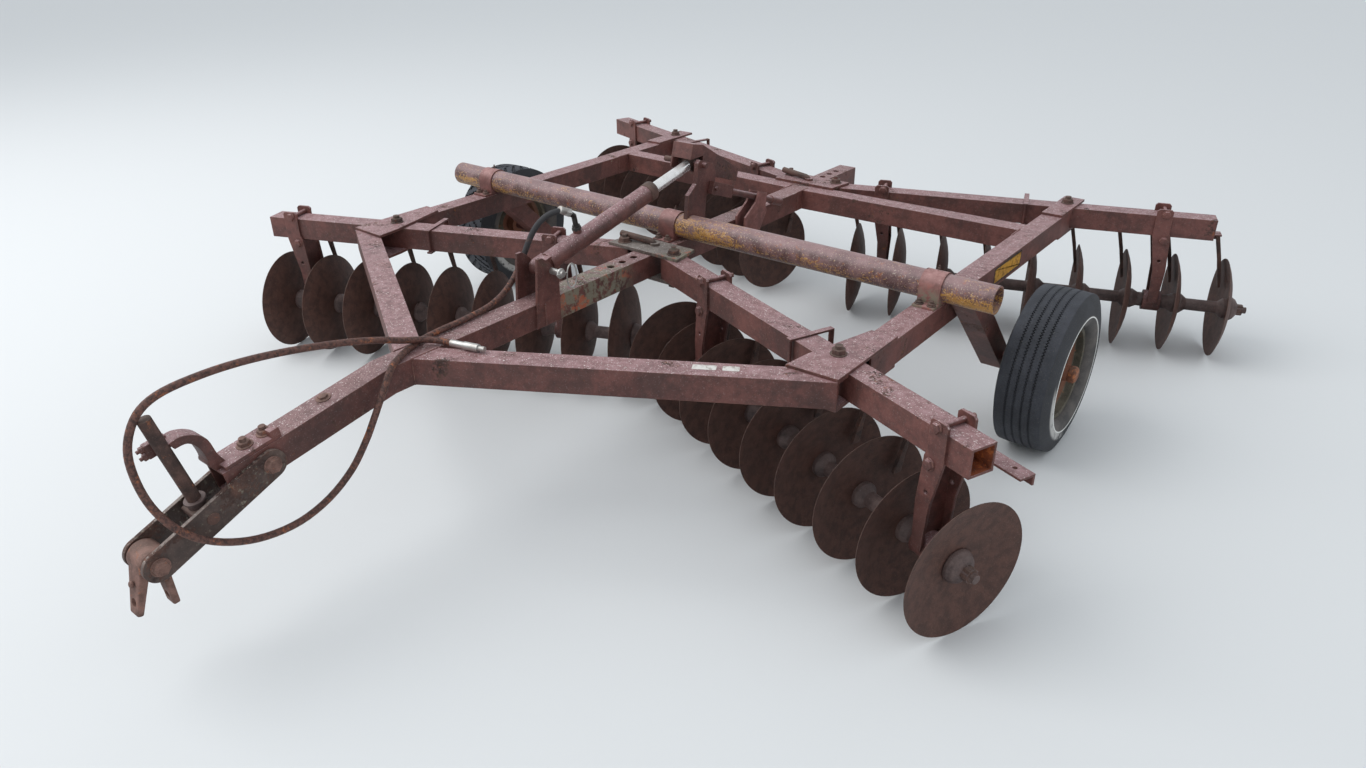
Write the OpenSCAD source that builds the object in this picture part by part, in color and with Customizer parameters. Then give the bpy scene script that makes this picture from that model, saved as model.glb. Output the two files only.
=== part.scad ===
// Tandem disc harrow on two road wheels.
// X runs to the left-hand side of the machine, -Y towards the hitch, Z up from the ground.

/* [Frame tubes] */
// Outside width and height of every square frame tube
tube = 102; // [96:1:108]
// Wall of the square tubes
tube_wall = 8; // [5:0.5:10]
// Outer face to outer face of the two side rails
rail_span = 2676; // [2620:2:2740]
// Rear end of the side rails behind the rockshaft
rail_rear = 1520; // [1490:2:1530]
// Front end of the side rails ahead of the rockshaft
rail_front = 620; // [600:2:632]
// Front edge of the cross arms behind the rockshaft, at the centre tube
cross_y = 1018; // [960:2:1060]
// How far each cross arm runs back by the time it meets its rail
cross_sweep = 37; // [0:1:60]
// Rear end of the centre tube behind the rockshaft
tail_y = 1610; // [1580:2:1640]
// Place of the downward bend in the centre tube, ahead of the rockshaft
kink_y = 1692; // [1660:2:1720]
// Downward slope of the drawbar ahead of the bend
drawbar_slope = 9.7; // [8:0.1:11]
// Length of the sloping drawbar tube
drawbar_len = 640; // [600:2:680]
// Angle of the two braces to a straight line across the machine
brace_angle = 30; // [28.5:0.1:31.5]
// Front corner of each brace ahead of the rockshaft, at its outer end
brace_tip_y = 856; // [850:1:862]

/* [Gangs] */
// Diameter of the harrow discs
disc_d = 500; // [480:2:510]
// Depth of the dish of a disc
disc_dish = 50; // [40:1:56]
// Thickness of a disc
disc_t = 6; // [5:0.5:7]
// Spacing of the discs along a gang
disc_pitch = 233; // [226:1:238]
// Number of discs on a gang
disc_count = 9; // [9:1:9]
// Angle of the front gangs
front_angle = 22.4; // [21.5:0.1:23]
// Angle of the rear gangs
rear_angle = 18.6; // [18:0.1:19.2]
// Distance of a front gang's pivot in from the outer face of the rail
front_pivot_in = 98; // [90:1:106]
// Distance of a front gang's pivot ahead of the rockshaft
front_pivot_y = 681; // [677:1:685]
// Distance of a rear gang's pivot behind the rockshaft
rear_pivot_y = 1596; // [1590:1:1600]
// Beam length outside the pivot bolt
beam_out = 697; // [680:1:710]
// Beam length inside the pivot bolt
beam_in = 1215; // [1190:1:1215]
// Underside of a beam to the gang axle
gang_drop = 362; // [340:1:380]
// Radius of the gang axle
arbor_r = 16; // [14:0.5:18]
// Radius of the flanges on a spool
spool_flange_r = 50; // [44:1:54]
// Radius of the waist of a spool
spool_waist_r = 30; // [26:1:34]

/* [Standards and scrapers] */
// Width of a standard along the beam
standard_w = 62; // [56:1:68]
// Thickness of the two cheeks of a standard
cheek_t = 11; // [9:0.5:13]
// Height of the cheek ears above the beam
ear_h = 36; // [32:1:42]
// Outer radius of a gang bearing
bearing_r = 52; // [46:1:54]
// Width of a gang bearing along the axle
bearing_w = 84; // [70:1:92]
// Width of the scraper bar's top leg
scraper_w = 64; // [58:1:68]
// Depth of the scraper bar's hanging leg
scraper_leg = 40; // [36:1:44]
// Thickness of the scraper bar
scraper_t = 8; // [6:0.5:9]
// Thickness of a scraper arm
arm_t = 12; // [10:0.5:13]

/* [Lift] */
// Radius of the rockshaft
shaft_r = 57; // [54:0.5:60]
// Length of the rockshaft beyond the outer face of a rail
shaft_over = 202; // [190:2:208]
// Running clearance of the rockshaft in its bearings
shaft_fit = 0.08; // [0.04:0.01:0.1]
// Thickness of the bearing straps
strap_t = 6; // [5:0.5:7]
// Width of the bearing straps
strap_w = 92; // [84:1:96]
// Distance of the wheel centres behind the rockshaft
wheel_back = 436; // [424:2:450]
// Outer diameter of a tyre
tyre_d = 700; // [690:2:708]
// Section width of a tyre
tyre_w = 238; // [228:1:244]
// Distance of a tyre's middle from the outer face of its lift arm
wheel_out = 196; // [190:1:202]
// Radius of the rim's bead seat
rim_r = 190; // [186:1:196]
// Width of a lift arm
lift_arm_w = 96; // [88:1:100]
// Depth of a lift arm
lift_arm_h = 90; // [84:1:98]
// Gap between a rail and its lift arm
lift_arm_gap = 24; // [18:1:30]
// Distance from the rockshaft to the rod eye's pin
lever_len = 287; // [280:1:294]
// Backward lean of the lever
lever_lean = 17.6; // [15:0.1:19]
// Thickness of the lever plate
lever_t = 22; // [18:1:22]
// Distance of the lever plate from the middle of the machine
lever_x = 48; // [44:1:50]

/* [Cylinder] */
// Place of the cylinder's base pin ahead of the rockshaft
base_pin_y = 905; // [895:1:915]
// Height of the base pin above the top of the tubes
base_pin_z = 122; // [116:1:128]
// Outer radius of the barrel
barrel_r = 40; // [38:0.5:44]
// Length of the barrel from its base pin
barrel_len = 716; // [700:1:740]
// Radius of the piston rod
rod_r = 25; // [22:0.5:27]
// Radius of the cylinder pins
pin_r = 13; // [12:0.5:14]

/* [Hitch] */
// Length of a hitch plate between its bolts
hitch_len = 426; // [416:1:436]
// Width of a hitch plate
hitch_w = 100; // [92:1:104]
// Thickness of a hitch plate
hitch_t = 14; // [12:0.5:16]
// Downward slope of the hitch plates
hitch_slope = 21.5; // [20:0.5:24]
// Radius of the levelling rod
level_r = 21; // [18:0.5:22]
// Forward lean of the levelling rod
level_lean = 13; // [11:0.5:15]
// Radius of the drawbar pin hole in the clevis
clevis_hole_r = 14; // [12:0.5:16]

/* [Hidden] */
// Faces of a true round
$fn = 48;
// Height of the top of all the frame tubes
top = disc_d / 2 + gang_drop + tube;
axle_z = disc_d / 2;
half = tube / 2;
rail_x = rail_span / 2 - half;
front_pivot_x = rail_span / 2 - front_pivot_in;
shaft_half = rail_span / 2 + shaft_over;
// The rockshaft rests on the tubes, and the origin is midway along the machine
shaft_z = top + strap_t + shaft_r;
shaft_y = 284;
wheel_z = tyre_d / 2;
arm_x = rail_span / 2 + lift_arm_gap;
wheel_x = arm_x + lift_arm_w + wheel_out;
plate_t = 12;
// Gap between solids of different moving bodies that lie face to face
gap = 0.4;
// Thin clearance where a bolt passes through a hole
bolt_fit = 0.3;

maroon = [0.36, 0.22, 0.21];
rust = [0.28, 0.16, 0.11];
blade = [0.22, 0.15, 0.12];
yellow = [0.62, 0.42, 0.12];
rubber = [0.11, 0.12, 0.13];
chrome = [0.8, 0.8, 0.8];

// Places along the machine are given from the rockshaft
module from_shaft() {
    translate([0, shaft_y, 0]) children();
}

// A pair of like pieces, one on each side of the machine
module both_sides() {
    children();
    mirror([1, 0, 0]) children();
}

// side = 1 is the left of the machine, side = -1 the right
module on_side(side) {
    if (side > 0) children();
    else mirror([1, 0, 0]) children();
}

// Square tube along +X from the origin, open at both ends, its top face at z = 0
module square_tube(length) {
    translate([0, -half, -tube]) difference() {
        cube([length, tube, tube]);
        translate([-1, tube_wall, tube_wall])
            cube([length + 2, tube - 2 * tube_wall, tube - 2 * tube_wall]);
    }
}

// Hexagon head or nut, flat on z = 0
module hex_head(r, h) {
    cylinder(r = r, h = h, $fn = 6);
}

// Bolt through a stack from z = 0 to z = grip, with a head above and a nut below
module bolt(r, grip, head_r, head_h) {
    translate([0, 0, -head_h]) hex_head(head_r, head_h);
    cylinder(r = r, h = grip);
    translate([0, 0, grip]) hex_head(head_r, head_h);
}

// A gang's own frame: x outward along the beam, y rearward, the pivot bolt at the origin
module gang(front, side) {
    from_shaft() on_side(side)
        translate([front ? front_pivot_x : rail_x, front ? -front_pivot_y : rear_pivot_y, 0])
            rotate([0, 0, front ? -front_angle : rear_angle]) children();
}

// Main frame

adjuster_bolt_x = 145;
front_bolt_y = -front_pivot_y + (front_pivot_x - adjuster_bolt_x) * tan(front_angle);
rear_bolt_y = rear_pivot_y - (rail_x - adjuster_bolt_x) * tan(rear_angle);
// The drop pin sits behind the front bolts and ahead of the rear ones
drop_pin = 44;
pin_hole_pitch = 76;
pin_hole_r = 17;
hitch_bolt_back = 140;
hitch_bolt_low = 60;
// Side outline of the bent centre tube between two depths below its top, run on at both ends
function bend_at(d) = [-kink_y + d * tan(drawbar_slope / 2), -d];
function nose_at(d, over) = [
    -kink_y - (drawbar_len + over) * cos(drawbar_slope) + d * sin(drawbar_slope),
    -(drawbar_len + over) * sin(drawbar_slope) - d * cos(drawbar_slope)
];
module bent_bar(width, d0, d1, over) {
    translate([-width / 2, 0, top]) rotate([90, 0, 90]) linear_extrude(width) polygon([
        [tail_y + over, -d0], bend_at(d0), nose_at(d0, over), nose_at(d1, over), bend_at(d1), [tail_y + over, -d1]
    ]);
}
module centre_tube() {
    color(maroon) from_shaft() difference() {
        bent_bar(tube, 0, tube, 0);
        bent_bar(tube - 2 * tube_wall, tube_wall, tube - tube_wall, 5);
        // Row of gang angle holes ahead of the rockshaft, and another in the tail
        for (i = [0:4], y = [front_bolt_y + drop_pin - i * pin_hole_pitch,
            rear_bolt_y - drop_pin + i * pin_hole_pitch])
            translate([0, y, top - tube - 1]) cylinder(r = pin_hole_r, h = tube + 2);
        drawbar_frame() translate([0, hitch_bolt_back - drawbar_len, -hitch_bolt_low]) rotate([0, 90, 0])
            translate([0, 0, -tube]) cylinder(r = hitch_bolt_r + bolt_fit, h = 2 * tube);
    }
}

// Frame of the sloping drawbar: y = 0 at the bend, running forward to -drawbar_len, top face z = 0
module drawbar_frame() {
    translate([0, -kink_y, top]) rotate([drawbar_slope, 0, 0]) children();
}

// A brace runs from the side of the centre tube out to the front plate
brace_end_x = rail_span / 2;
module brace() {
    color(maroon) from_shaft() difference() {
        translate([brace_end_x, -brace_tip_y, top]) rotate([0, 0, brace_angle])
            translate([-2000, half, 0]) square_tube(2300);
        translate([half - 4 * tube, -4000, top - 2 * tube]) cube([4 * tube, 6000, 3 * tube]);
        translate([half - 8 * tube, -4000, top - 2 * tube]) cube([4.5 * tube, 6000, 3 * tube]);
        translate([brace_end_x, -4000, top - 2 * tube]) cube([6 * tube, 6000, 3 * tube]);
        // The end is cut along the gang beam's front face
        translate([front_pivot_x, -front_pivot_y, top - 2 * tube]) rotate([0, 0, -front_angle])
            translate([-4 * tube, -half - 8, 0]) cube([12 * tube, 8 * tube, 3 * tube]);
    }
}
module brace_left() { brace(); }
module brace_right() { mirror([1, 0, 0]) brace(); }

module rail() {
    color(maroon) from_shaft() translate([rail_x, -rail_front, top]) rotate([0, 0, 90])
        square_tube(rail_front + rail_rear);
}
module rail_left() { rail(); }
module rail_right() { mirror([1, 0, 0]) rail(); }

module cross_arms() {
    run = rail_x - half - half;
    color(maroon) from_shaft() both_sides() difference() {
        translate([half, cross_y + half, top]) rotate([0, 0, atan(cross_sweep / run)])
            translate([-tube, 0, 0]) square_tube(run + 2 * tube);
        translate([half - 2 * tube, 0, top - 2 * tube]) cube([2 * tube, 2 * cross_y, 3 * tube]);
        translate([rail_x - half, 0, top - 2 * tube]) cube([3 * tube, 2 * cross_y, 3 * tube]);
    }
}

// Top and bottom plates that carry a front gang's pivot bolt, as corners from the rockshaft
front_plate_in = 100;
front_plate_back = 200;
module front_plate_outline() {
    polygon([
        [rail_x - half - front_plate_in, -brace_tip_y - 4], [brace_end_x, -brace_tip_y + 2],
        [brace_end_x, front_plate_back - rail_front], [rail_x - half, front_plate_back - 10 - rail_front],
        [rail_x - half - front_plate_in + 16, -front_pivot_y - 60]
    ]);
}
pivot_bolt_r = 16;
module front_plates() {
    color(maroon) from_shaft() both_sides() for (z = [top, top - tube - plate_t])
        translate([0, 0, z]) difference() {
            linear_extrude(plate_t) front_plate_outline();
            translate([front_pivot_x, -front_pivot_y, -1]) cylinder(r = pivot_bolt_r + bolt_fit, h = plate_t + 2);
        }
}

rear_plate_len = 345;
module rear_plates() {
    color(maroon) from_shaft() both_sides() for (z = [top, top - tube - plate_t])
        translate([rail_x, rear_pivot_y, z]) difference() {
            translate([-half, -rear_plate_len + 115, 0]) cube([tube, rear_plate_len, plate_t]);
            translate([0, 0, -1]) cylinder(r = pivot_bolt_r + bolt_fit, h = plate_t + 2);
        }
}

module pivot_bolts() {
    grip = tube + 2 * plate_t;
    color(rust) from_shaft() both_sides()
        for (p = [[front_pivot_x, -front_pivot_y], [rail_x, rear_pivot_y]])
            translate([p[0], p[1], top + plate_t]) mirror([0, 0, 1]) bolt(pivot_bolt_r, grip, 26, 18);
}

// Lug plates on the drawbar's sides that hold the cylinder's base pin
lug_t = 12;
lug_front = 99;
lug_back = 35;
module cylinder_lugs() {
    color(maroon) from_shaft() both_sides() translate([half, 0, top]) rotate([90, 0, 90]) difference() {
        linear_extrude(lug_t) polygon([
            [-base_pin_y - lug_front, -tube + 4], [-base_pin_y + lug_back, -tube + 4],
            [-base_pin_y + lug_back + 4, base_pin_z - 26], [-base_pin_y - 10, base_pin_z + 38],
            [-base_pin_y - 47, base_pin_z + 66], [-base_pin_y - 71, base_pin_z + 66]
        ]);
        translate([-base_pin_y, base_pin_z, -1]) cylinder(r = pin_r + bolt_fit, h = lug_t + 2);
    }
}

// Strap bearings of the rockshaft, on the two rails and on the centre tube
foot_w = 44;
foot_bolt_r = 9;
bearing_x = [-rail_x, -34, rail_x];
module strap_bearing() {
    outer = shaft_r + strap_t;
    lift = shaft_z - top;
    difference() {
        union() {
            rotate([0, 90, 0]) translate([0, 0, -strap_w / 2]) cylinder(r = outer, h = strap_w);
            translate([-strap_w / 2, -outer, -lift]) cube([strap_w, 2 * outer, lift]);
            translate([-strap_w / 2, -outer - foot_w, -lift]) cube([strap_w, 2 * (outer + foot_w), 10]);
        }
        rotate([0, 90, 0]) translate([0, 0, -strap_w]) cylinder(r = shaft_r + shaft_fit, h = 2 * strap_w);
        for (x = [-1, 1], y = [-1, 1]) translate([x * 26, y * (outer + foot_w / 2), -lift - 1])
            cylinder(r = foot_bolt_r + bolt_fit, h = 12);
    }
    for (x = [-1, 1], y = [-1, 1]) translate([x * 26, y * (outer + foot_w / 2), -lift + 10])
        hex_head(15, 10);
}
module shaft_bearings() {
    color(maroon) from_shaft() for (x = bearing_x) translate([x, 0, shaft_z]) strap_bearing();
}

// Plates that tie the inner ends of two beams to the centre tube
adjuster_t = 14;
adjuster_bolt_r = 12;
module adjuster(bolt_y, back) {
    for (z = [top, top - tube - adjuster_t]) translate([0, 0, z]) difference() {
        linear_extrude(adjuster_t) polygon([
            [-202, bolt_y - back * 48], [202, bolt_y - back * 48],
            [182, bolt_y + back * 104], [-182, bolt_y + back * 104]
        ]);
        for (x = [-adjuster_bolt_x, adjuster_bolt_x]) translate([x, bolt_y, -1])
            cylinder(r = adjuster_bolt_r + bolt_fit, h = adjuster_t + 2);
        translate([0, bolt_y + back * drop_pin, -1]) cylinder(r = pin_hole_r, h = adjuster_t + 2);
    }
    for (x = [-adjuster_bolt_x, adjuster_bolt_x]) translate([x, bolt_y, top + adjuster_t])
        mirror([0, 0, 1]) bolt(adjuster_bolt_r, tube + 2 * adjuster_t, 26, 20);
    for (x = [-adjuster_bolt_x, adjuster_bolt_x]) translate([x, bolt_y, top + adjuster_t])
        cylinder(r = adjuster_bolt_r, h = 34);
    // Drop pin that sets the gang angle
    translate([0, bolt_y + back * drop_pin, top - tube - adjuster_t - 30])
        cylinder(r = pin_hole_r - 1, h = tube + 2 * adjuster_t + 40);
    translate([0, bolt_y + back * drop_pin, top + adjuster_t]) cylinder(r = 22, h = 12);
}
module front_adjuster() { color(maroon) from_shaft() adjuster(front_bolt_y, 1); }
module rear_adjuster() { color(maroon) from_shaft() adjuster(rear_bolt_y, -1); }

// Curved ears beside the centre tube that guide the depth-stop rod
stop_x = 85;
ear_t = 10;
ear_foot = 372;
module stop_ears() {
    color(maroon) from_shaft() for (x = [stop_x - 31, stop_x + 21]) translate([x, 0, top])
        rotate([90, 0, 90]) linear_extrude(ear_t)
            polygon([
                [ear_foot, -tube + 6], [ear_foot + 120, -tube + 6], [ear_foot + 194, 12], [ear_foot + 182, 43],
                [ear_foot + 192, 103], [ear_foot + 122, 127], [ear_foot + 95, 76], [ear_foot + 5, 19]
            ]);
    color(maroon) from_shaft() translate([half, ear_foot, top - tube + 6])
        cube([stop_x + 31 - half, 120, 10]);
}

// Gangs

// Square beam over a gang, open at both ends, with holes for its pivot and adjuster bolts
module gang_beam(front) {
    bolt_x = front ? (front_pivot_x - adjuster_bolt_x) / cos(front_angle)
        : (rail_x - adjuster_bolt_x) / cos(rear_angle);
    difference() {
        translate([-beam_in, 0, top]) square_tube(beam_in + beam_out);
        translate([0, 0, top - tube - 1]) cylinder(r = pivot_bolt_r + bolt_fit, h = tube + 2);
        translate([-bolt_x, 0, top - tube - 1]) cylinder(r = adjuster_bolt_r + bolt_fit, h = tube + 2);
    }
}
module beam_front_left() { color(maroon) gang(true, 1) gang_beam(true); }
module beam_front_right() { color(maroon) gang(true, -1) gang_beam(true); }
module beam_rear_left() { color(maroon) gang(false, 1) gang_beam(false); }
module beam_rear_right() { color(maroon) gang(false, -1) gang_beam(false); }

// Hub places along the beam: the outermost disc, then inward by the pitch
front_hub = 651;
rear_hub = 838;
function hub_x(front, i) = (front ? front_hub : rear_hub) - i * disc_pitch;
// The bearings sit halfway along two of the spools
front_spools = [0, 6];
rear_spools = [1, 7];
function spools(front) = front ? front_spools : rear_spools;

bearing_fit = 0.08;
journal_r = 36;
// The ears lean off the bearing's middle: outward on the front gangs, inward on the rear ones
module standard(lean) {
    low = axle_z + 6;
    w = standard_w / 2;
    k = top - tube;
    difference() {
        union() {
            for (y = [-half - cheek_t, half]) translate([0, y + cheek_t, 0]) rotate([90, 0, 0])
                linear_extrude(cheek_t) scale([lean, 1]) polygon([
                    [w - 26, top + ear_h], [w + 28, top + ear_h], [w + 38, top + ear_h - 10], [w + 38, k],
                    [w, k - 178], [w - 9, low], [9 - w, low], [3 - w, k - 178], [w - 45, k], [w - 36, k + 20],
                    [w - 36, top + ear_h - 10]
                ]);
            translate([lean > 0 ? w - 44 : 34 - w, -half, low]) cube([10, tube, gang_drop - 12]);
            translate([-bearing_w / 2, 0, axle_z]) rotate([0, 90, 0]) cylinder(r = bearing_r, h = bearing_w);
        }
        translate([-standard_w, 0, axle_z]) rotate([0, 90, 0])
            cylinder(r = journal_r + bearing_fit, h = 2 * standard_w);
        translate([lean * 12, -tube, k - 127]) rotate([-90, 0, 0]) cylinder(r = 9, h = 2 * tube);
    }
    for (b = [[26, top + 12], [14, k - 22]]) translate([lean * b[0], -half - cheek_t, b[1]]) rotate([-90, 0, 0])
        bolt(10, tube + 2 * cheek_t, 18, 12);
}
module standards(front) {
    for (i = spools(front)) translate([hub_x(front, i) - disc_pitch / 2, 0, 0]) standard(front ? 1 : -1);
}
module standards_front_left() { color(maroon) gang(true, 1) standards(true); }
module standards_front_right() { color(maroon) gang(true, -1) standards(true); }
module standards_rear_left() { color(maroon) gang(false, 1) standards(false); }
module standards_rear_right() { color(maroon) gang(false, -1) standards(false); }

// Scraper bar: an angle behind and below the beam, hung from a strap over the beam
bar_y = half + 53;
bar_z = top - tube - plate_t - 2;
bar_out = 760;
bar_in = 1190;
clamp_x = -200;
module scraper_bar() {
    difference() {
        translate([-bar_in, bar_y, bar_z - scraper_t]) cube([bar_in + bar_out, scraper_w, scraper_t]);
        translate([bar_out - 56, bar_y + 36, bar_z - 2 * scraper_t]) cylinder(r = 8, h = 3 * scraper_t);
    }
    translate([-bar_in, bar_y + scraper_w - scraper_t, bar_z - scraper_leg])
        cube([bar_in + bar_out, scraper_t, scraper_leg]);
    // Strap over the beam with a leg down to the bar
    translate([clamp_x - 12, -half - 22, top]) cube([24, tube + 100, 8]);
    translate([clamp_x - 12, half + 70, bar_z - 1]) cube([24, 8, top - bar_z + 2]);
    translate([clamp_x, -half - 12, top - tube - 4]) cylinder(r = 7, h = tube + 10);
    translate([clamp_x - 12, -half - 22, top - tube - 8]) cube([24, tube + 42, 8]);
    translate([clamp_x - 12, half + 12, bar_z - 8]) cube([24, 60, 8]);
    translate([clamp_x - 12, half + 12, bar_z - 8]) cube([24, 8, top - tube - bar_z + 8]);
}
module scraper_bars() {
    color(rust) {
        for (side = [1, -1]) gang(true, side) scraper_bar();
        for (side = [1, -1]) gang(false, side) scraper_bar();
    }
}

// Scraper arm from the bar down to the hollow side of one disc
rim_gap = 8;
module scraper_arm() {
    hull() {
        translate([disc_dish + rim_gap + 30, bar_y + 20, bar_z - scraper_t - 12]) cube([16, 24, 12]);
        translate([disc_dish + rim_gap, bar_y + 14, axle_z + 214]) cube([16, arm_t, 12]);
    }
    hull() {
        translate([disc_dish + rim_gap, bar_y + 14, axle_z + 214]) cube([16, arm_t, 12]);
        translate([disc_dish - 18, bar_y, axle_z + 70]) cube([10, 34, 16]);
    }
}
module scrapers(front) {
    // The outermost disc of a front gang has no scraper
    for (i = [front ? 1 : 0:disc_count - 1]) translate([hub_x(front, i), 0, 0])
        if (front) scraper_arm();
        else translate([disc_t, 0, 0]) mirror([1, 0, 0]) scraper_arm();
}
module scrapers_front_left() { color(rust) gang(true, 1) scrapers(true); }
module scrapers_front_right() { color(rust) gang(true, -1) scrapers(true); }
module scrapers_rear_left() { color(rust) gang(false, 1) scrapers(false); }
module scrapers_rear_right() { color(rust) gang(false, -1) scrapers(false); }

// Axle with its spools, end washers and nuts, turned as one profile
nut_r = 27;
end_len = 96;
module spool() {
    length = disc_pitch - disc_t - gap;
    neck = 16;
    rotate([0, 90, 0]) rotate_extrude() polygon([
        [0, 0], [spool_flange_r, 0], [spool_flange_r, neck], [spool_waist_r, 2.6 * neck],
        [spool_waist_r, length - 2.6 * neck], [spool_flange_r, length - neck], [spool_flange_r, length], [0, length]
    ]);
}
module bearing_spool() {
    length = disc_pitch - disc_t - gap;
    neck = 16;
    rotate([0, 90, 0]) rotate_extrude() polygon([
        [0, 0], [spool_flange_r, 0], [spool_flange_r, neck], [journal_r, 2.6 * neck],
        [journal_r, length - 2.6 * neck], [spool_flange_r, length - neck], [spool_flange_r, length], [0, length]
    ]);
}
module arbor(front) {
    last = hub_x(front, disc_count - 1);
    first = hub_x(front, 0);
    translate([0, 0, axle_z]) {
        translate([last - end_len, 0, 0]) rotate([0, 90, 0]) cylinder(r = arbor_r, h = first - last + 2 * end_len);
        for (i = [0:disc_count - 2]) translate([hub_x(front, i + 1) + disc_t + gap / 2, 0, 0]) {
            if (i == spools(front)[0] || i == spools(front)[1]) bearing_spool();
            else spool();
        }
        // Domed bumper washer and nut at each end
        for (end = [[first + disc_t + gap / 2, 1], [last - gap / 2, -1]]) translate([end[0], 0, 0])
            rotate([0, end[1] * 90, 0]) {
                rotate_extrude() polygon([
                    [0, 0], [spool_flange_r + 9, 0], [spool_flange_r + 12, 5], [spool_flange_r + 10, 16],
                    [spool_flange_r + 1, 31], [spool_flange_r - 15, 43], [nut_r, 46], [0, 46]
                ]);
                translate([0, 0, 46]) hex_head(nut_r, 26);
            }
    }
}
module arbor_front_left() { color(rust) gang(true, 1) arbor(true); }
module arbor_front_right() { color(rust) gang(true, -1) arbor(true); }
module arbor_rear_left() { color(rust) gang(false, 1) arbor(false); }
module arbor_rear_right() { color(rust) gang(false, -1) arbor(false); }

// Dished disc with a flat middle, hollow towards +Z, its hub's back face at z = 0
disc_flat = 60;
dish_steps = 5;
module disc() {
    run = disc_d / 2 - disc_flat;
    rise = disc_dish - disc_t;
    // The dish is part of a sphere that starts level at the flat middle
    ball = (run * run + rise * rise) / (2 * rise);
    back = [for (i = [0:dish_steps])
        let (a = i / dish_steps * asin(run / ball)) [disc_flat + ball * sin(a), ball * (1 - cos(a))]];
    face = [for (i = [dish_steps:-1:0])
        let (a = i / dish_steps * asin(run / ball), w = disc_t * (i == dish_steps ? 0.35 : 1))
            [disc_flat + ball * sin(a), ball * (1 - cos(a)) + w]];
    rotate_extrude() polygon(concat([[arbor_r + gap, 0]], back, face, [[arbor_r + gap, disc_t]]));
}
module discs(front) {
    for (i = [0:disc_count - 1]) translate([hub_x(front, i), 0, axle_z])
        if (front) rotate([0, 90, 0]) disc();
        else translate([disc_t, 0, 0]) rotate([0, -90, 0]) disc();
}
module discs_front_left() { color(blade) gang(true, 1) discs(true); }
module discs_front_right() { color(blade) gang(true, -1) discs(true); }
module discs_rear_left() { color(blade) gang(false, 1) discs(false); }
module discs_rear_right() { color(blade) gang(false, -1) discs(false); }

// Lift

module rockshaft() {
    color(yellow) from_shaft() translate([-shaft_half, 0, shaft_z]) rotate([0, 90, 0]) difference() {
        cylinder(r = shaft_r, h = 2 * shaft_half);
        translate([0, 0, -1]) cylinder(r = shaft_r - 8, h = 2 * shaft_half + 2);
    }
}

pin_y = lever_len * sin(lever_lean);
pin_z = shaft_z + lever_len * cos(lever_lean);
// Pin of the depth-stop rod, from the rockshaft's centre
stop_pin = [150, 155];
stop_pin_r = 10;
module lift_lever() {
    color(maroon) from_shaft() difference() {
        union() {
            translate([lever_x, 0, shaft_z]) rotate([90, 0, 90]) linear_extrude(lever_t) polygon([
                [-44, -34], [-32, 60], [-21, 154], [38, 196], [pin_y - 36, lever_len], [pin_y - 20, lever_len + 14],
                [pin_y + 76, lever_len - 20], [pin_y + 101, lever_len - 62], [stop_pin[0] + 30, stop_pin[1] + 10],
                [stop_pin[0] + 20, stop_pin[1] - 16], [112, 122], [104, 12], [60, -34]
            ]);
            // Pin that holds the rod's eye
            translate([eye_w / 2 + gap, pin_y, pin_z]) rotate([0, 90, 0])
                cylinder(r = pin_r, h = lever_x + lever_t + 22 - eye_w / 2);
            translate([lever_x - 1, stop_pin[0], shaft_z + stop_pin[1]]) rotate([0, 90, 0])
                cylinder(r = stop_pin_r, h = lever_t + 42);
        }
        translate([lever_x - 1, 0, shaft_z]) rotate([0, 90, 0]) cylinder(r = shaft_r, h = lever_t + 2);
    }
}

// Transport lock: a channel hung on the rod's pin, here laid back off the cylinder
lock_x = [-72, 32];
lock_t = 8;
module transport_lock() {
    color(maroon) from_shaft() difference() {
        for (x = lock_x) translate([x, pin_y, pin_z]) rotate([90, 0, 90]) linear_extrude(lock_t)
            polygon([
                [-66, -10], [-34, 98], [40, 82], [330, -90], [312, -150], [60, -60], [24, -46], [-30, -46]
            ]);
        translate([-200, pin_y, pin_z]) rotate([0, 90, 0]) cylinder(r = pin_r + 0.08, h = 200);
        // The near side is cut away round the lever's pin
        translate([lock_x[1] - 1, pin_y - 70, pin_z - 60]) cube([lock_t + 2, 110, 90]);
    }
    color(maroon) from_shaft() translate([lock_x[0] + 1, pin_y, pin_z]) rotate([90, 0, 90])
        linear_extrude(lock_x[1] - lock_x[0]) polygon([
            [-34, 98], [40, 82], [330, -90], [326, -97], [38, 73], [-28, 86], [-45, 29], [-53, 31]
        ]);
}

arm_drop = shaft_z - wheel_z;
arm_angle = atan2(arm_drop, wheel_back);
arm_len = norm([arm_drop, wheel_back]);
spindle_r = 22;
module lift_arm() {
    color(maroon) from_shaft() {
        difference() {
            translate([arm_x, 0, shaft_z]) rotate([-arm_angle, 0, 0])
                translate([0, -10, -lift_arm_h / 2]) cube([lift_arm_w, arm_len + 55, lift_arm_h]);
            translate([0, 0, shaft_z]) rotate([0, 90, 0]) cylinder(r = shaft_r, h = 2 * shaft_half);
        }
        // Spindle stub out to the wheel hub
        translate([arm_x + lift_arm_w, wheel_back, wheel_z]) rotate([0, 90, 0])
            cylinder(r = spindle_r, h = wheel_x + 70 - arm_x - lift_arm_w);
    }
}
module lift_arm_left() { lift_arm(); }
module lift_arm_right() { mirror([1, 0, 0]) lift_arm(); }

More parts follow.
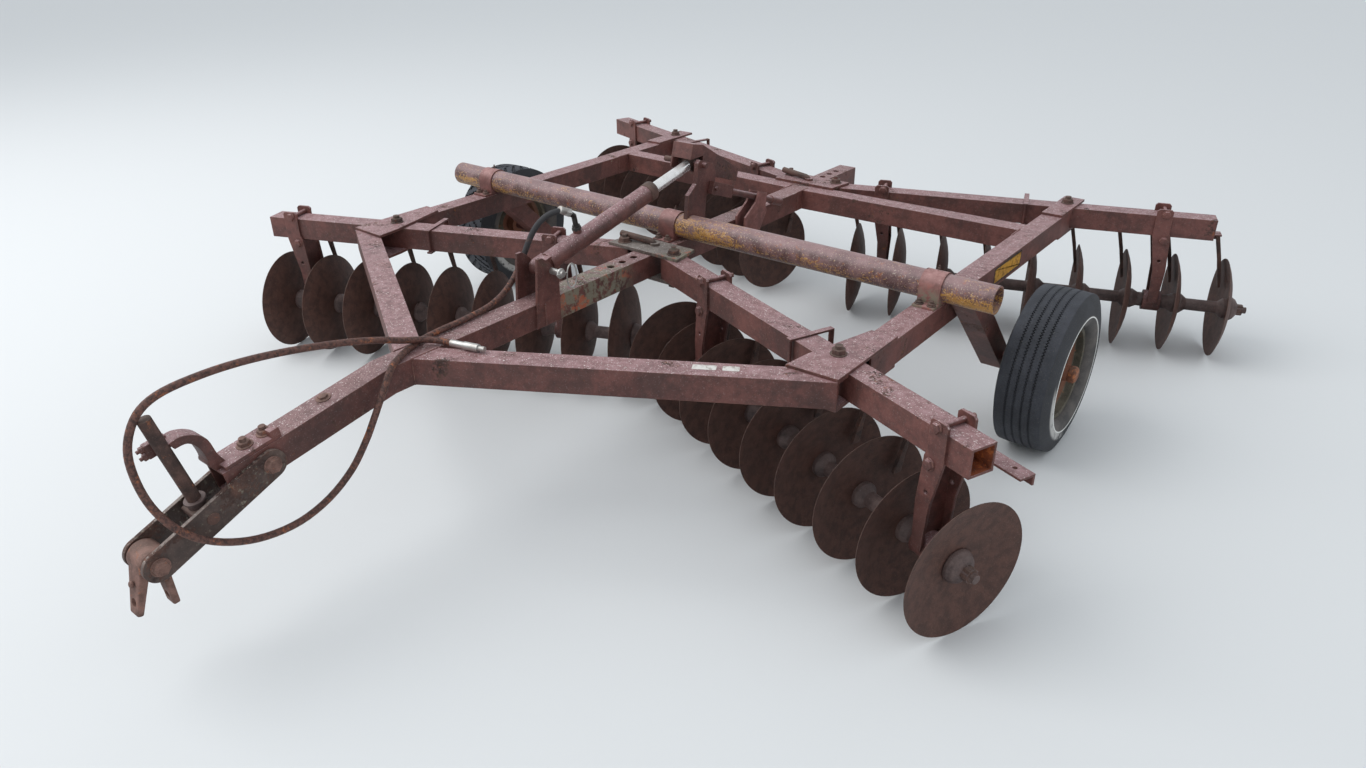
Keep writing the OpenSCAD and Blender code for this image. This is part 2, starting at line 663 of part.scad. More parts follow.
tyre_r = tyre_d / 2;
module tyre() {
    h = tyre_w / 2;
    color(rubber) from_shaft() translate([wheel_x, wheel_back, wheel_z]) rotate([0, 90, 0])
        rotate_extrude($fn = 96) polygon([
            [rim_r + 1, 10 - rim_half], [rim_r + 13, 5 - rim_half], [rim_r + 16, -h + 12], [rim_r + 50, -h + 1], [rim_r + 84, -h + 3],
            [tyre_r - 30, -h + 11], [tyre_r - 10, -h + 24], [tyre_r - 3, -h + 33], [tyre_r, -h + 62],
            [tyre_r, h - 62], [tyre_r - 3, h - 33], [tyre_r - 10, h - 24], [tyre_r - 30, h - 11],
            [rim_r + 84, h - 3], [rim_r + 50, h - 1], [rim_r + 16, h - 12],
            [rim_r + 13, rim_half - 5], [rim_r + 1, rim_half - 10]
        ]);
}
module tyre_left() { tyre(); }
module tyre_right() { mirror([1, 0, 0]) tyre(); }

rim_half = 82;
hub_r = 42;
wheel_bolt_ring = 134;
hub_out = 104;
module rim() {
    color(rust) from_shaft() translate([wheel_x, wheel_back, wheel_z]) rotate([0, 90, 0]) difference() {
        union() {
            rotate_extrude($fn = 96) polygon([
                [rim_r + 12, -rim_half], [rim_r + 12, -rim_half + 4], [rim_r, -rim_half + 8], [rim_r, -rim_half + 40],
                [rim_r - 20, -rim_half + 56], [rim_r - 20, 30], [rim_r, 46], [rim_r, rim_half - 8],
                [rim_r + 12, rim_half - 4], [rim_r + 12, rim_half], [rim_r - 4, rim_half - 2], [rim_r - 4, 50],
                [rim_r - 25, 34], [rim_r - 25, 20], [150, 14], [120, 34], [90, 34], [70, 24], [40, 24],
                [40, 18], [72, 18], [92, 28], [118, 28], [150, 6], [rim_r - 25, 8],
                [rim_r - 25, -rim_half + 54], [rim_r - 4, -rim_half + 38], [rim_r - 4, -rim_half + 6]
            ]);
            // Hub with its grease cap
            rotate_extrude() polygon([
                [spindle_r + 0.08, -50], [hub_r + 6, -50], [hub_r + 6, 0], [hub_r, 10], [66, 16], [66, 24],
                [hub_r, 26], [38, 60], [34, hub_out - 12], [26, hub_out - 4], [0, hub_out], [0, 72],
                [spindle_r + 0.08, 72]
            ]);
        }
        for (i = [0:4]) rotate([0, 0, i * 72 + 36]) translate([wheel_bolt_ring, 0, -1]) cylinder(r = 9, h = 60);
    }
}
module rim_left() { rim(); }
module rim_right() { mirror([1, 0, 0]) rim(); }

// Cylinder, from its base pin up to the lever pin

cyl_rise = pin_z - (top + base_pin_z);
cyl_run = pin_y + base_pin_y;
cyl_angle = atan2(cyl_rise, cyl_run);
cyl_len = norm([cyl_rise, cyl_run]);
eye_r = 36;
eye_w = 44;
eye_pin_out = 150;
base_w = 60;
// The port is on the top of the barrel
port_at = 236;
piston_at = 420;
// The cylinder's frame: z along the rod from the base pin
module along_cylinder() {
    from_shaft() translate([0, -base_pin_y, top + base_pin_z]) rotate([cyl_angle - 90, 0, 0]) children();
}
module cylinder_barrel() {
    color(maroon) along_cylinder() difference() {
        union() {
            translate([0, 0, 40]) cylinder(r = barrel_r, h = barrel_len - 40);
            rotate([0, 90, 0]) translate([0, 0, -base_w / 2]) cylinder(r = 34, h = base_w);
            translate([-base_w / 2, -34, 0]) cube([base_w, 68, 46]);
            // Port boss on the top
            translate([0, 6 - barrel_r, port_at]) rotate([90, 0, 0]) cylinder(r = 18, h = 18);
        }
        rotate([0, 90, 0]) translate([0, 0, -base_w]) cylinder(r = pin_r + 0.08, h = 2 * base_w);
        translate([0, 0, 60]) cylinder(r = barrel_r - 8, h = barrel_len - 80);
        translate([0, 0, 60]) cylinder(r = rod_r + 0.08, h = barrel_len);
    }
}
module cylinder_rod() {
    color(chrome) along_cylinder() {
        translate([0, 0, piston_at]) cylinder(r = barrel_r - 8 - 0.08, h = 30);
        // The rod butts on the round of its eye
        difference() {
            translate([0, 0, piston_at]) cylinder(r = rod_r, h = cyl_len - piston_at - 16);
            translate([-eye_w, 0, cyl_len]) rotate([0, 90, 0]) cylinder(r = eye_r, h = 2 * eye_w);
        }
    }
}
module rod_eye() {
    color(rust) along_cylinder() {
        translate([-eye_w / 2, 0, cyl_len]) rotate([0, 90, 0]) cylinder(r = eye_r, h = eye_w);
        // Pin run on past the transport lock
        translate([-eye_pin_out, 0, cyl_len]) rotate([0, 90, 0]) cylinder(r = pin_r, h = eye_pin_out);
    }
}
module base_pin() {
    color(chrome) from_shaft() translate([-half - lug_t - 14, -base_pin_y, top + base_pin_z]) rotate([0, 90, 0]) {
        cylinder(r = pin_r, h = tube + 2 * lug_t + 80);
        cylinder(r = pin_r + 6, h = 10);
    }
}

// Depth-stop rod, pinned beside the lever and running back between the ears
stop_slope = 19.4;
stop_block = 170;
stop_len = 620;
module stop_rod() {
    color(rust) from_shaft() translate([stop_x, stop_pin[0], shaft_z + stop_pin[1]]) rotate([-stop_slope, 0, 0]) {
        difference() {
            translate([-13, -22, -30]) cube([26, stop_block, 60]);
            rotate([0, 90, 0]) translate([0, 0, -20]) cylinder(r = stop_pin_r + 0.08, h = 40);
        }
        translate([0, stop_block - 23, 0]) rotate([-90, 0, 0]) cylinder(r = 16, h = stop_len - stop_block + 20);
        translate([0, stop_len - 95, 0]) rotate([-90, 0, 0]) cylinder(r = 21, h = 95);
    }
}

// Hitch

hitch_bolt_r = 14;
// The hitch plates' frame: y = 0 at the rear bolt, running forward
module hitch_frame() {
    from_shaft() drawbar_frame() translate([0, hitch_bolt_back - drawbar_len, -hitch_bolt_low])
        rotate([hitch_slope - drawbar_slope, 0, 0]) children();
}
module hitch_plates() {
    color(maroon) hitch_frame() {
        both_sides() translate([half + gap, 0, 0]) difference() {
            union() {
                rotate([0, 90, 0]) cylinder(r = hitch_w / 2, h = hitch_t);
                translate([0, -hitch_len, -hitch_w / 2]) cube([hitch_t, hitch_len, hitch_w]);
                translate([0, -hitch_len, 0]) rotate([0, 90, 0]) cylinder(r = hitch_w / 2, h = hitch_t);
            }
            for (y = [0, -hitch_len]) translate([-1, y, 0]) rotate([0, 90, 0])
                cylinder(r = hitch_bolt_r + bolt_fit, h = hitch_t + 2);
            translate([-1, -level_foot, 0]) rotate([0, 90, 0]) cylinder(r = trunnion_r + bolt_fit, h = hitch_t + 2);
        }
        translate([-half - gap - hitch_t, 0, 0]) rotate([0, 90, 0])
            bolt(hitch_bolt_r, tube + 2 * (hitch_t + gap), 24, 16);
        translate([-half - gap - hitch_t, -hitch_len, 0]) rotate([0, 90, 0])
            bolt(hitch_bolt_r, tube + 2 * (hitch_t + gap), 24, 16);
    }
}

// Clevis hanging from the front bolt, with a pin hole through its two jaws
clevis_w = 60;
clevis_drop = 132;
clevis_lean = 17;
module clevis() {
    color(maroon) hitch_frame() translate([0, -hitch_len, 0])
        rotate([-hitch_slope - clevis_lean, 0, 0]) difference() {
        union() {
            translate([-half + 1, 0, 0]) rotate([0, 90, 0]) cylinder(r = 40, h = tube - 2);
            for (y = [-42, 18]) translate([-clevis_w / 2, y, -clevis_drop - 34])
                cube([clevis_w, 24, clevis_drop + 34]);
            translate([-clevis_w / 2, -42, -60]) cube([clevis_w, 84, 40]);
        }
        translate([-tube, 0, 0]) rotate([0, 90, 0]) cylinder(r = hitch_bolt_r + 0.08, h = 2 * tube);
        translate([0, -60, -clevis_drop]) rotate([-90, 0, 0]) cylinder(r = clevis_hole_r, h = 120);
    }
}

// Bracket bolted on the drawbar, with an arm curving forward to an eye round the levelling rod
level_foot = 232;
level_top = 300;
trunnion_r = 16;
// The levelling rod's own frame: z up along the rod from its trunnion block
module level_frame() {
    hitch_frame() translate([0, -level_foot, 0]) rotate([level_lean - hitch_slope, 0, 0]) children();
}
level_eye = 250;
module hitch_bracket() {
    color(maroon) difference() {
        from_shaft() drawbar_frame() translate([-16, -drawbar_len, 0])
            rotate([90, 0, 90]) linear_extrude(32) polygon([
            [20, 0], [86, 0], [76, 56], [56, 104], [28, 150], [-8, 190], [-44, 214], [-84, 222],
            [-84, 186], [-60, 178], [-36, 158], [-10, 122], [12, 76], [20, 36]
        ]);
        // The rod runs through the arm's front end
        level_frame() translate([0, 0, 100]) cylinder(r = level_r + bolt_fit, h = 300);
    }
    color(maroon) from_shaft() drawbar_frame() translate([0, -drawbar_len, 0]) {
        translate([-36, 14, 0]) cube([72, 196, 14]);
        for (y = [112, 182]) translate([0, y, 14]) hex_head(20, 14);
    }
    color(maroon) level_frame() translate([0, 0, level_eye]) difference() {
        translate([-30, -30, 0]) cube([60, 62, 40]);
        translate([0, 0, -1]) cylinder(r = level_r + bolt_fit, h = 42);
    }
}

// Levelling rod with its trunnion block between the plates
module level_rod() {
    color(rust) hitch_frame() translate([0, -level_foot, 0]) {
        translate([-half + 6, -34, -34]) cube([tube - 12, 68, 68]);
        translate([-half - hitch_t, 0, 0]) rotate([0, 90, 0]) cylinder(r = trunnion_r, h = tube + 2 * hitch_t);
    }
    color(rust) level_frame() {
        cylinder(r = level_r, h = 33 + level_top);
        translate([0, 0, 33]) cylinder(r = level_r + 14, h = 24);
    }
}

// Hose, as points from the rockshaft and from the top of the frame tubes
hose_r = 12;
hose_route = [
    [0, -720, 300], [-3, -747, 314], [-11, -780, 319], [-25, -813, 312], [-42, -842, 291],
    [-60, -865, 257], [-77, -886, 208], [-91, -908, 150], [-98, -940, 96], [-98, -986, 52], [-88, -1044, 26],
    [-72, -1110, 15], [-54, -1190, 13.5], [-42, -1300, 13.5],
    [-38, -1400, 13.5], [-25, -1500, 13.5], [8, -1590, 13.5], [44, -1652, 15], [62, -1685, 12.5], [77, -1716, -5],
    [86, -1745, -38], [93, -1780, -82], [98, -1818, -134], [102, -1862, -192],
    [106, -1935, -268], [108, -2035, -328], [110, -2150, -356],
    [110, -2270, -346], [108, -2375, -306], [100, -2460, -246], [82, -2514, -176], [48, -2540, -108],
    [14, -2546, -36], [-4, -2540, 44], [-4, -2516, 114], [0, -2474, 168], [2, -2404, 196],
    [4, -2290, 204], [4, -2170, 198], [4, -2040, 180], [0, -1900, 150], [-4, -1770, 116],
    [-6, -1660, 80], [-6, -1600, 56], [-4, -1548, 39], [4, -1507, 28], [26, -1474, 20], [58, -1455, 16], [84, -1448, 16]
];
hose_sides = 10;
function between(a, b, c, d, t) =
    ((2 * b) + (c - a) * t + (2 * a - 5 * b + 4 * c - d) * t * t + (3 * b - a - 3 * c + d) * t * t * t) / 2;
function smooth(p) = let (n = len(p) - 1) concat(
    [for (i = [0:n - 1], t = [0, 0.5])
        between(p[max(i - 1, 0)], p[i], p[i + 1], p[min(i + 2, n)], t)],
    [p[n]]);
function heading(p, i) = let (d = p[min(i + 1, len(p) - 1)] - p[max(i - 1, 0)]) d / norm(d);
// The sides are carried from ring to ring without twist
function carry(u, t) = let (v = u - (u * t) * t) v / norm(v);
function sides_of(p, i = 0, u = [1, 0, 0]) =
    i >= len(p) ? [] : let (v = carry(u, heading(p, i))) concat([v], sides_of(p, i + 1, v));
module swept_tube(p, r) {
    n = len(p);
    k = hose_sides;
    u = sides_of(p);
    rings = [for (i = [0:n - 1], j = [0:k - 1])
        let (w = cross(heading(p, i), u[i]), a = j * 360 / k) p[i] + r * (u[i] * cos(a) + w * sin(a))];
    walls = [for (i = [0:n - 2], j = [0:k - 1]) let (m = (j + 1) % k)
        each [[i * k + j, i * k + m, (i + 1) * k + m], [i * k + j, (i + 1) * k + m, (i + 1) * k + j]]];
    caps = [for (j = [1:k - 2]) each [[0, j + 1, j], [(n - 1) * k, (n - 1) * k + j, (n - 1) * k + j + 1]]];
    polyhedron(points = rings, faces = [for (f = concat(walls, caps)) [f[0], f[2], f[1]]], convexity = 8);
}
module hose() {
    color(rubber) from_shaft() translate([0, 0, top]) swept_tube(smooth(hose_route), hose_r);
}

// Elbow from the barrel's port up and forward to the hose
module hose_elbow() {
    color(chrome) along_cylinder() translate([0, -barrel_r - 12, port_at]) rotate([90, 0, 0]) {
        hex_head(17, 20);
        cylinder(r = 11, h = 62);
        translate([0, 0, 62]) {
            sphere(r = 11);
            rotate([43, 0, 0]) cylinder(r = 11, h = 25);
        }
    }
}

// Coupler at the hose's free end
module hose_coupler() {
    p = hose_route[len(hose_route) - 1];
    color(chrome) from_shaft() translate([p[0], p[1], top + p[2]]) rotate([0, 0, 14]) rotate([0, 90, 0]) {
        translate([0, 0, 1]) cylinder(r = 12.5, h = 60);
        translate([0, 0, 60]) cylinder(r = 15, h = 60);
        translate([0, 0, 120]) cylinder(r = 10, h = 26);
    }
}

centre_tube();
brace_left();
brace_right();
rail_left();
rail_right();
cross_arms();
front_plates();
rear_plates();
pivot_bolts();
cylinder_lugs();
shaft_bearings();
front_adjuster();
rear_adjuster();
stop_ears();
beam_front_left();
beam_front_right();
beam_rear_left();
beam_rear_right();
standards_front_left();
standards_front_right();
standards_rear_left();
standards_rear_right();
scraper_bars();
scrapers_front_left();
scrapers_front_right();
scrapers_rear_left();
scrapers_rear_right();
arbor_front_left();
arbor_front_right();
arbor_rear_left();
arbor_rear_right();
discs_front_left();
discs_front_right();
discs_rear_left();
discs_rear_right();
rockshaft();
lift_lever();
lift_arm_left();
lift_arm_right();
tyre_left();
tyre_right();
rim_left();
rim_right();
cylinder_barrel();
cylinder_rod();
rod_eye();
base_pin();
stop_rod();
transport_lock();
hitch_plates();
hitch_bracket();
level_rod();
clevis();
hose();
hose_elbow();
hose_coupler();
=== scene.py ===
# %% [markdown]
# # A tandem disc harrow that has stood outside for years
# The harrow is a frame of square tubes on two road wheels. Four gangs of dished discs hang below it. Its
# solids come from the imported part, and this lesson gives them their finishes and their small pieces.
# Every number is in metres. X runs to the left of the machine, -Y points to the hitch, and Z is up.

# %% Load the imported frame
from math import atan2, cos, degrees, hypot, radians, sin, tan
import bmesh
import bpy
from mathutils import Matrix, Vector


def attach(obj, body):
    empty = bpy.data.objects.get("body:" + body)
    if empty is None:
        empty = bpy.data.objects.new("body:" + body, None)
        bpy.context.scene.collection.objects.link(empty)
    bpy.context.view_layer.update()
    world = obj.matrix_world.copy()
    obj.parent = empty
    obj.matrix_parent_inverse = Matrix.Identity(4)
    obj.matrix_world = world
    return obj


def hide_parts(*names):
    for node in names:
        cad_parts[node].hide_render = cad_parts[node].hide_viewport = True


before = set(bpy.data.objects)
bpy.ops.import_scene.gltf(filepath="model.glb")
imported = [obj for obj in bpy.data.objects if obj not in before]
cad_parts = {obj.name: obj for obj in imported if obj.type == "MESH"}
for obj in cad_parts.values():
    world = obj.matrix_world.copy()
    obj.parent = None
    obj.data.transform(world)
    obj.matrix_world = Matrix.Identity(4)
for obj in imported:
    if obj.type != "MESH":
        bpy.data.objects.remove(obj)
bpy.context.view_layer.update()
scene = bpy.context.scene
scene.view_settings.view_transform = "Standard"

# %% [markdown]
# ## Camera
# The camera stands to the left of the hitch, a little above head height, and looks down over the frame.
# Its place, tilt and lens were worked out from known distances between tubes and bolts, so that the
# render can be laid over the photograph. It turns about the upright axis first and is tipped down after
# that.

# %% Place the camera


def moved(x, y, z):
    return Matrix.Translation((x, y, z))


def rotated(angle, axis="X"):
    return Matrix.Rotation(radians(angle), 4, axis)


camera_data = bpy.data.cameras.new("camera")
camera_data.lens = 25.007
camera_data.sensor_width = 36
camera_data.clip_end = 200
camera = bpy.data.objects.new("camera", camera_data)
scene.collection.objects.link(camera)
turn = rotated(38.11, "Z") @ rotated(62.39)
roll = rotated(-0.45, "Z")
camera.matrix_world = moved(2.6595, -3.0918, 2.1791) @ turn @ roll
scene.camera = camera
print("camera at", [round(v, 3) for v in camera.location])

# %% [markdown]
# ## Hydraulic hose
# One hose feeds the lift cylinder. It leaves the elbow on the barrel, drops behind the lug plates, lies
# along the drawbar, slides off its side, loops below the hitch, climbs over the levelling rod and comes
# back to rest on the tube. A smooth line through a table of points is the plainest way to lay it, because
# a hose holds its length and never bends sharply. Places along the machine are counted from the lift
# shaft, and heights from the top of the tubes.

# %% Values shared by many pieces
SHAFT_Y = 0.284
TOP = 0.714
TUBE = 0.102
HALF = TUBE / 2
SHAFT_Z = 0.777
AXLE_Z = 0.25
RAIL_X = 1.287
WHEEL_X = 1.654
WHEEL_Y = SHAFT_Y + 0.436
WHEEL_Z = 0.350
FRONT_PIVOT_X, FRONT_PIVOT_Y, FRONT_ANGLE = 1.240, SHAFT_Y - 0.681, 22.4
REAR_PIVOT_X, REAR_PIVOT_Y, REAR_ANGLE = RAIL_X, SHAFT_Y + 1.596, 18.6
BASE_PIN_Y, BASE_PIN_Z = SHAFT_Y - 0.905, TOP + 0.122
print("lift shaft at", SHAFT_Y, SHAFT_Z)

# %% Route of the hose
HOSE_R = 0.012
hose_mm = [
    (0, -720, 300), (-3, -747, 314), (-11, -780, 319), (-25, -813, 312), (-42, -842, 291),
    (-60, -865, 257), (-77, -886, 208), (-91, -908, 150), (-98, -940, 96), (-98, -986, 52),
    (-88, -1044, 26), (-72, -1110, 15), (-54, -1190, 13.5), (-42, -1300, 13.5), (-38, -1400, 13.5),
    (-25, -1500, 13.5), (8, -1590, 13.5), (44, -1652, 15), (62, -1685, 12.5), (77, -1716, -5),
    (86, -1745, -38), (93, -1780, -82), (98, -1818, -134), (102, -1862, -192), (106, -1935, -268),
    (108, -2035, -328), (110, -2150, -356), (110, -2270, -346), (108, -2375, -306), (100, -2460, -246),
    (82, -2514, -176), (48, -2540, -108), (14, -2546, -36), (-4, -2540, 44), (-4, -2516, 114),
    (0, -2474, 168), (2, -2404, 196), (4, -2290, 204), (4, -2170, 198), (4, -2040, 180), (0, -1900, 150),
    (-4, -1770, 116), (-6, -1660, 80), (-6, -1600, 56), (-4, -1548, 39), (4, -1507, 28), (26, -1474, 20),
    (58, -1455, 16), (84, -1448, 16),
]
hose_points = [Vector((x, y, z)) / 1000 + Vector((0, SHAFT_Y, TOP)) for x, y, z in hose_mm]


def between(a, b, c, d, t):
    bend = (2 * a - 5 * b + 4 * c - d) * t * t
    return (2 * b + (c - a) * t + bend + (3 * b - a - 3 * c + d) * t ** 3) / 2


def smooth_line(points, steps):
    last = len(points) - 1
    line = []
    for i in range(last):
        for step in range(steps):
            line.append(between(points[max(i - 1, 0)], points[i], points[i + 1], points[min(i + 2, last)],
                step / steps))
    return line + [points[last]]


hose_line = smooth_line(hose_points, 4)

# %% Helpers that keep the selection clean


def nothing_selected():
    if bpy.context.object and bpy.context.object.mode != "OBJECT":
        bpy.ops.object.mode_set(mode="OBJECT")
    bpy.ops.object.select_all(action="DESELECT")


def only(obj):
    nothing_selected()
    obj.select_set(True)
    bpy.context.view_layer.objects.active = obj
    return obj


def curve_tube(name, points, radius, resolution, shares=None):
    curve = bpy.data.curves.new(name, "CURVE")
    curve.dimensions = "3D"
    curve.bevel_depth = radius
    curve.bevel_resolution = resolution
    curve.use_fill_caps = True
    line = curve.splines.new("POLY")
    line.points.add(len(points) - 1)
    for number, point in enumerate(points):
        line.points[number].co = (*point, 1)
        if shares:
            line.points[number].radius = shares[number % len(shares)]
    obj = bpy.data.objects.new(name, curve)
    scene.collection.objects.link(obj)
    only(obj)
    bpy.ops.object.convert(target="MESH")
    return bpy.context.object


def edit_mode():
    bpy.ops.object.mode_set(mode="EDIT")


def object_mode():
    bpy.ops.object.mode_set(mode="OBJECT")


def select_everything():
    bpy.ops.mesh.select_all(action="SELECT")


def tube_along(name, points, radius, sides=12):
    tube = curve_tube(name, points, radius, max(sides // 4 - 1, 0))
    edit_mode()
    select_everything()
    bpy.ops.mesh.remove_doubles(threshold=0.00001)
    bpy.ops.mesh.normals_make_consistent(inside=False)
    object_mode()
    return tube


# %% Sweep the hose
hose = tube_along("hydraulic_hose", hose_line, HOSE_R, 16)
bpy.ops.object.shade_smooth_by_angle(angle=radians(60))
along = hose.data.attributes.new("along", "FLOAT", "POINT")
for vertex in hose.data.vertices:
    nearest = min(range(len(hose_line)), key=lambda i: (hose_line[i] - vertex.co).length_squared)
    along.data[vertex.index].value = nearest / (len(hose_line) - 1)
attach(hose, "frame")
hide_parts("hose")
print("hose faces", len(hose.data.polygons))

# %% [markdown]
# ## Stage and light
# A wide pale floor catches the shadow. One large soft lamp stands in for the bright part of a cloudy sky,
# and the world fills the rest, at a level where a colour renders about as it is written.

# %% Floor
nothing_selected()
bpy.ops.mesh.primitive_plane_add(size=90)
floor = bpy.context.object
floor.name = "floor"
floor_paint = bpy.data.materials.new("pale_floor")
floor_paint.use_nodes = True
floor_shader = floor_paint.node_tree.nodes["Principled BSDF"]
floor_shader.inputs["Base Color"].default_value = (0.72, 0.73, 0.73, 1)
floor_shader.inputs["Roughness"].default_value = 0.9
floor.data.materials.append(floor_paint)
print("floor", [round(v, 1) for v in floor.dimensions])

# %% Lamp and world
nothing_selected()
bpy.ops.object.light_add(type="AREA", location=(-5.5, -4.5, 8.5))
lamp = bpy.context.object
lamp.name = "soft_lamp"
lamp.data.shape = "SQUARE"
lamp.data.size = 9
lamp.data.energy = 620
lamp.rotation_euler = (Vector((0, 0, 0.4)) - lamp.location).to_track_quat("-Z", "Y").to_euler()
world = bpy.data.worlds.new("cloudy")
scene.world = world
world.use_nodes = True
world.node_tree.nodes["Background"].inputs["Color"].default_value = (0.9, 0.95, 1.0, 1)
world.node_tree.nodes["Background"].inputs["Strength"].default_value = 0.85
print("lamp", lamp.data.energy, "W")

# %% [markdown]
# ## Finishes
# The paint was a maroon brown. The faces that look up are mixed towards a painted sky sheen, rust has
# broken through at edges and in patches, and dust and lichen have left pale flecks. Several finishes share
# these effects, so each one is a node group that gives masks, and every material mixes its own colours with
# them. Colours are written as a screen shows them, from 0 to 255.

# %% Helpers for node trees


def srgb(r, g, b):
    def straight(v):
        v = v / 255
        return v / 12.92 if v <= 0.04045 else ((v + 0.055) / 1.055) ** 2.4
    return (straight(r), straight(g), straight(b), 1)


def give(socket, value):
    socket.default_value = srgb(*value) if socket.type == "RGBA" else value


def put(tree, kind, inputs=None, **settings):
    node = tree.nodes.new("ShaderNode" + kind)
    for key, value in settings.items():
        setattr(node, key, value)
    for key, value in (inputs or {}).items():
        if isinstance(value, bpy.types.NodeSocket):
            tree.links.new(value, node.inputs[key])
        else:
            give(node.inputs[key], value)
    return node


def tree_of(*values):
    return next(value.id_data for value in values if isinstance(value, bpy.types.NodeSocket))


def sums(operation, a, b=0.5, clamp=False):
    return put(tree_of(a, b), "Math", {0: a, 1: b}, operation=operation, use_clamp=clamp).outputs[0]


def plus(a, b, clamp=False):
    return sums("ADD", a, b, clamp)


def minus(a, b):
    return sums("SUBTRACT", a, b)


def times(a, b):
    return sums("MULTIPLY", a, b)


def surface_spot(tree):
    return put(tree, "TexCoord").outputs["Object"]


def blend(mask, a, b, mode="MIX"):
    return put(tree_of(mask, a, b), "Mix", {0: mask, 6: a, 7: b}, data_type="RGBA",
        blend_type=mode).outputs[2]


def steps(value, low, high, out_low=0.0, out_high=1.0):
    limits = {0: value, 1: low, 2: high, 3: out_low, 4: out_high}
    return put(tree_of(value), "MapRange", limits, interpolation_type="SMOOTHSTEP").outputs[0]


def cloud(vector, scale, detail=5.0, rough=0.55, twist=0.0):
    values = {"Vector": vector, "Scale": scale, "Detail": detail, "Roughness": rough, "Distortion": twist}
    return put(tree_of(vector), "TexNoise", values).outputs["Fac"]


def new_group(name, inputs, outputs):
    tree = bpy.data.node_groups.new(name, "ShaderNodeTree")
    for label, value in inputs.items():
        kind = "NodeSocketColor" if isinstance(value, tuple) else "NodeSocketFloat"
        tree.interface.new_socket(label, in_out="INPUT", socket_type=kind).default_value = value
    for label, kind in outputs.items():
        tree.interface.new_socket(label, in_out="OUTPUT", socket_type="NodeSocket" + kind)
    return tree, tree.nodes.new("NodeGroupInput").outputs, tree.nodes.new("NodeGroupOutput").inputs


print("helpers for node trees ready")

# %% [markdown]
# ### Wear and weather
# The first group looks at one point of a surface and answers four questions. Does it face the sky, is it
# on an edge, does it lie in a rusty patch, and is there a pale fleck on it? A bevel node rounds the
# normal near an edge, and where that normal leaves the true one, paint has rubbed off. Noise at three
# sizes makes the rest.

# %% Wear group
wear, given, out = new_group("Wear", {
    "Edge Radius": 0.004, "Patch Size": 6.0, "Patch Amount": 0.35, "Fleck Size": 260.0,
    "Fleck Amount": 0.4}, {
    "Sky": "Float", "Edge": "Float", "Patch": "Float", "Fleck": "Float", "Grain": "Float",
    "Rounded": "Vector"})
spot = surface_spot(wear)
facing = put(wear, "NewGeometry")
up = put(wear, "SeparateXYZ", {0: put(wear, "TexCoord").outputs["Normal"]}).outputs["Z"]
wear.links.new(steps(up, 0.35, 0.9), out["Sky"])
rounded = put(wear, "Bevel", {"Radius": given["Edge Radius"]}, samples=4)
match = put(wear, "VectorMath", {0: rounded.outputs[0], 1: facing.outputs["True Normal"]},
    operation="DOT_PRODUCT").outputs["Value"]
ragged = cloud(spot, 60.0, 4.0, 0.6)
rub = times(steps(match, 0.99, 0.80), steps(ragged, 0.36, 0.62))
wear.links.new(rub, out["Edge"])
wide = cloud(spot, given["Patch Size"], 8.0, 0.62, 0.4)
fine = cloud(spot, 90.0, 6.0, 0.6)
mixed = plus(times(wide, 0.75), times(fine, 0.25))
edge_of_patch = minus(0.72, times(given["Patch Amount"], 0.42))
patch = steps(mixed, edge_of_patch, plus(edge_of_patch, 0.07))
wear.links.new(patch, out["Patch"])
fleck_noise = cloud(spot, given["Fleck Size"], 3.0, 0.7)
fleck_edge = minus(0.74, times(given["Fleck Amount"], 0.25))
fleck = steps(fleck_noise, fleck_edge, plus(fleck_edge, 0.05))
wear.links.new(fleck, out["Fleck"])
wear.links.new(cloud(spot, 420.0, 5.0, 0.65), out["Grain"])
wear.links.new(rounded.outputs[0], out["Rounded"])
print("wear group:", len(wear.nodes), "nodes")

# %% [markdown]
# ### Rust
# Rust is never one colour. Old rust is dark brown, fresh rust is orange, and a wet film leaves purple
# grey. The second group mixes these with its own noise and also gives a height for the bump.

# %% Rust group
rust, given, out = new_group("Rust", {
    "Dark": srgb(52, 36, 32), "Middle": srgb(92, 64, 54), "Fresh": srgb(140, 82, 48), "Fresh Amount": 0.3,
    "Scale": 14.0}, {"Color": "Color", "Height": "Float"})
spot = surface_spot(rust)
low = cloud(spot, given["Scale"], 7.0, 0.62, 0.3)
crumbs = cloud(spot, 240.0, 6.0, 0.7)
base = blend(steps(low, 0.34, 0.66), given["Dark"], given["Middle"])
fresh_edge = minus(0.70, times(given["Fresh Amount"], 0.30))
fresh_noise = cloud(spot, times(given["Scale"], 2.3), 8.0, 0.66, 0.6)
fresh = steps(fresh_noise, fresh_edge, plus(fresh_edge, 0.10))
warm = blend(times(fresh, 0.8), base, given["Fresh"])
crumbled = put(rust, "MapRange", {0: crumbs, 1: 0.3, 2: 0.7, 3: 0.35, 4: 0.75}).outputs[0]
grainy = blend(0.55, warm, crumbled, "OVERLAY")
rust.links.new(grainy, out["Color"])
rust.links.new(plus(times(low, 0.4), times(crumbs, 0.6)), out["Height"])
print("rust group:", len(rust.nodes), "nodes")

# %% Start of a material


def start_material(name):
    material = bpy.data.materials.new(name)
    material.use_nodes = True
    tree = material.node_tree
    return material, tree, tree.nodes["Principled BSDF"]


def use_group(tree, group, **values):
    node = tree.nodes.new("ShaderNodeGroup")
    node.node_tree = group
    for key, value in values.items():
        give(node.inputs[key.replace("_", " ")], value)
    return node.outputs


def dress(shader, colour, rough, height, strength, distance, marks=None):
    tree = shader.id_data
    tree.links.new(colour, shader.inputs["Base Color"])
    tree.links.new(rough, shader.inputs["Roughness"])
    relief = {"Height": height, "Strength": strength, "Distance": distance}
    if marks:
        relief["Normal"] = marks["Rounded"]
    tree.links.new(put(tree, "Bump", relief).outputs[0], shader.inputs["Normal"])


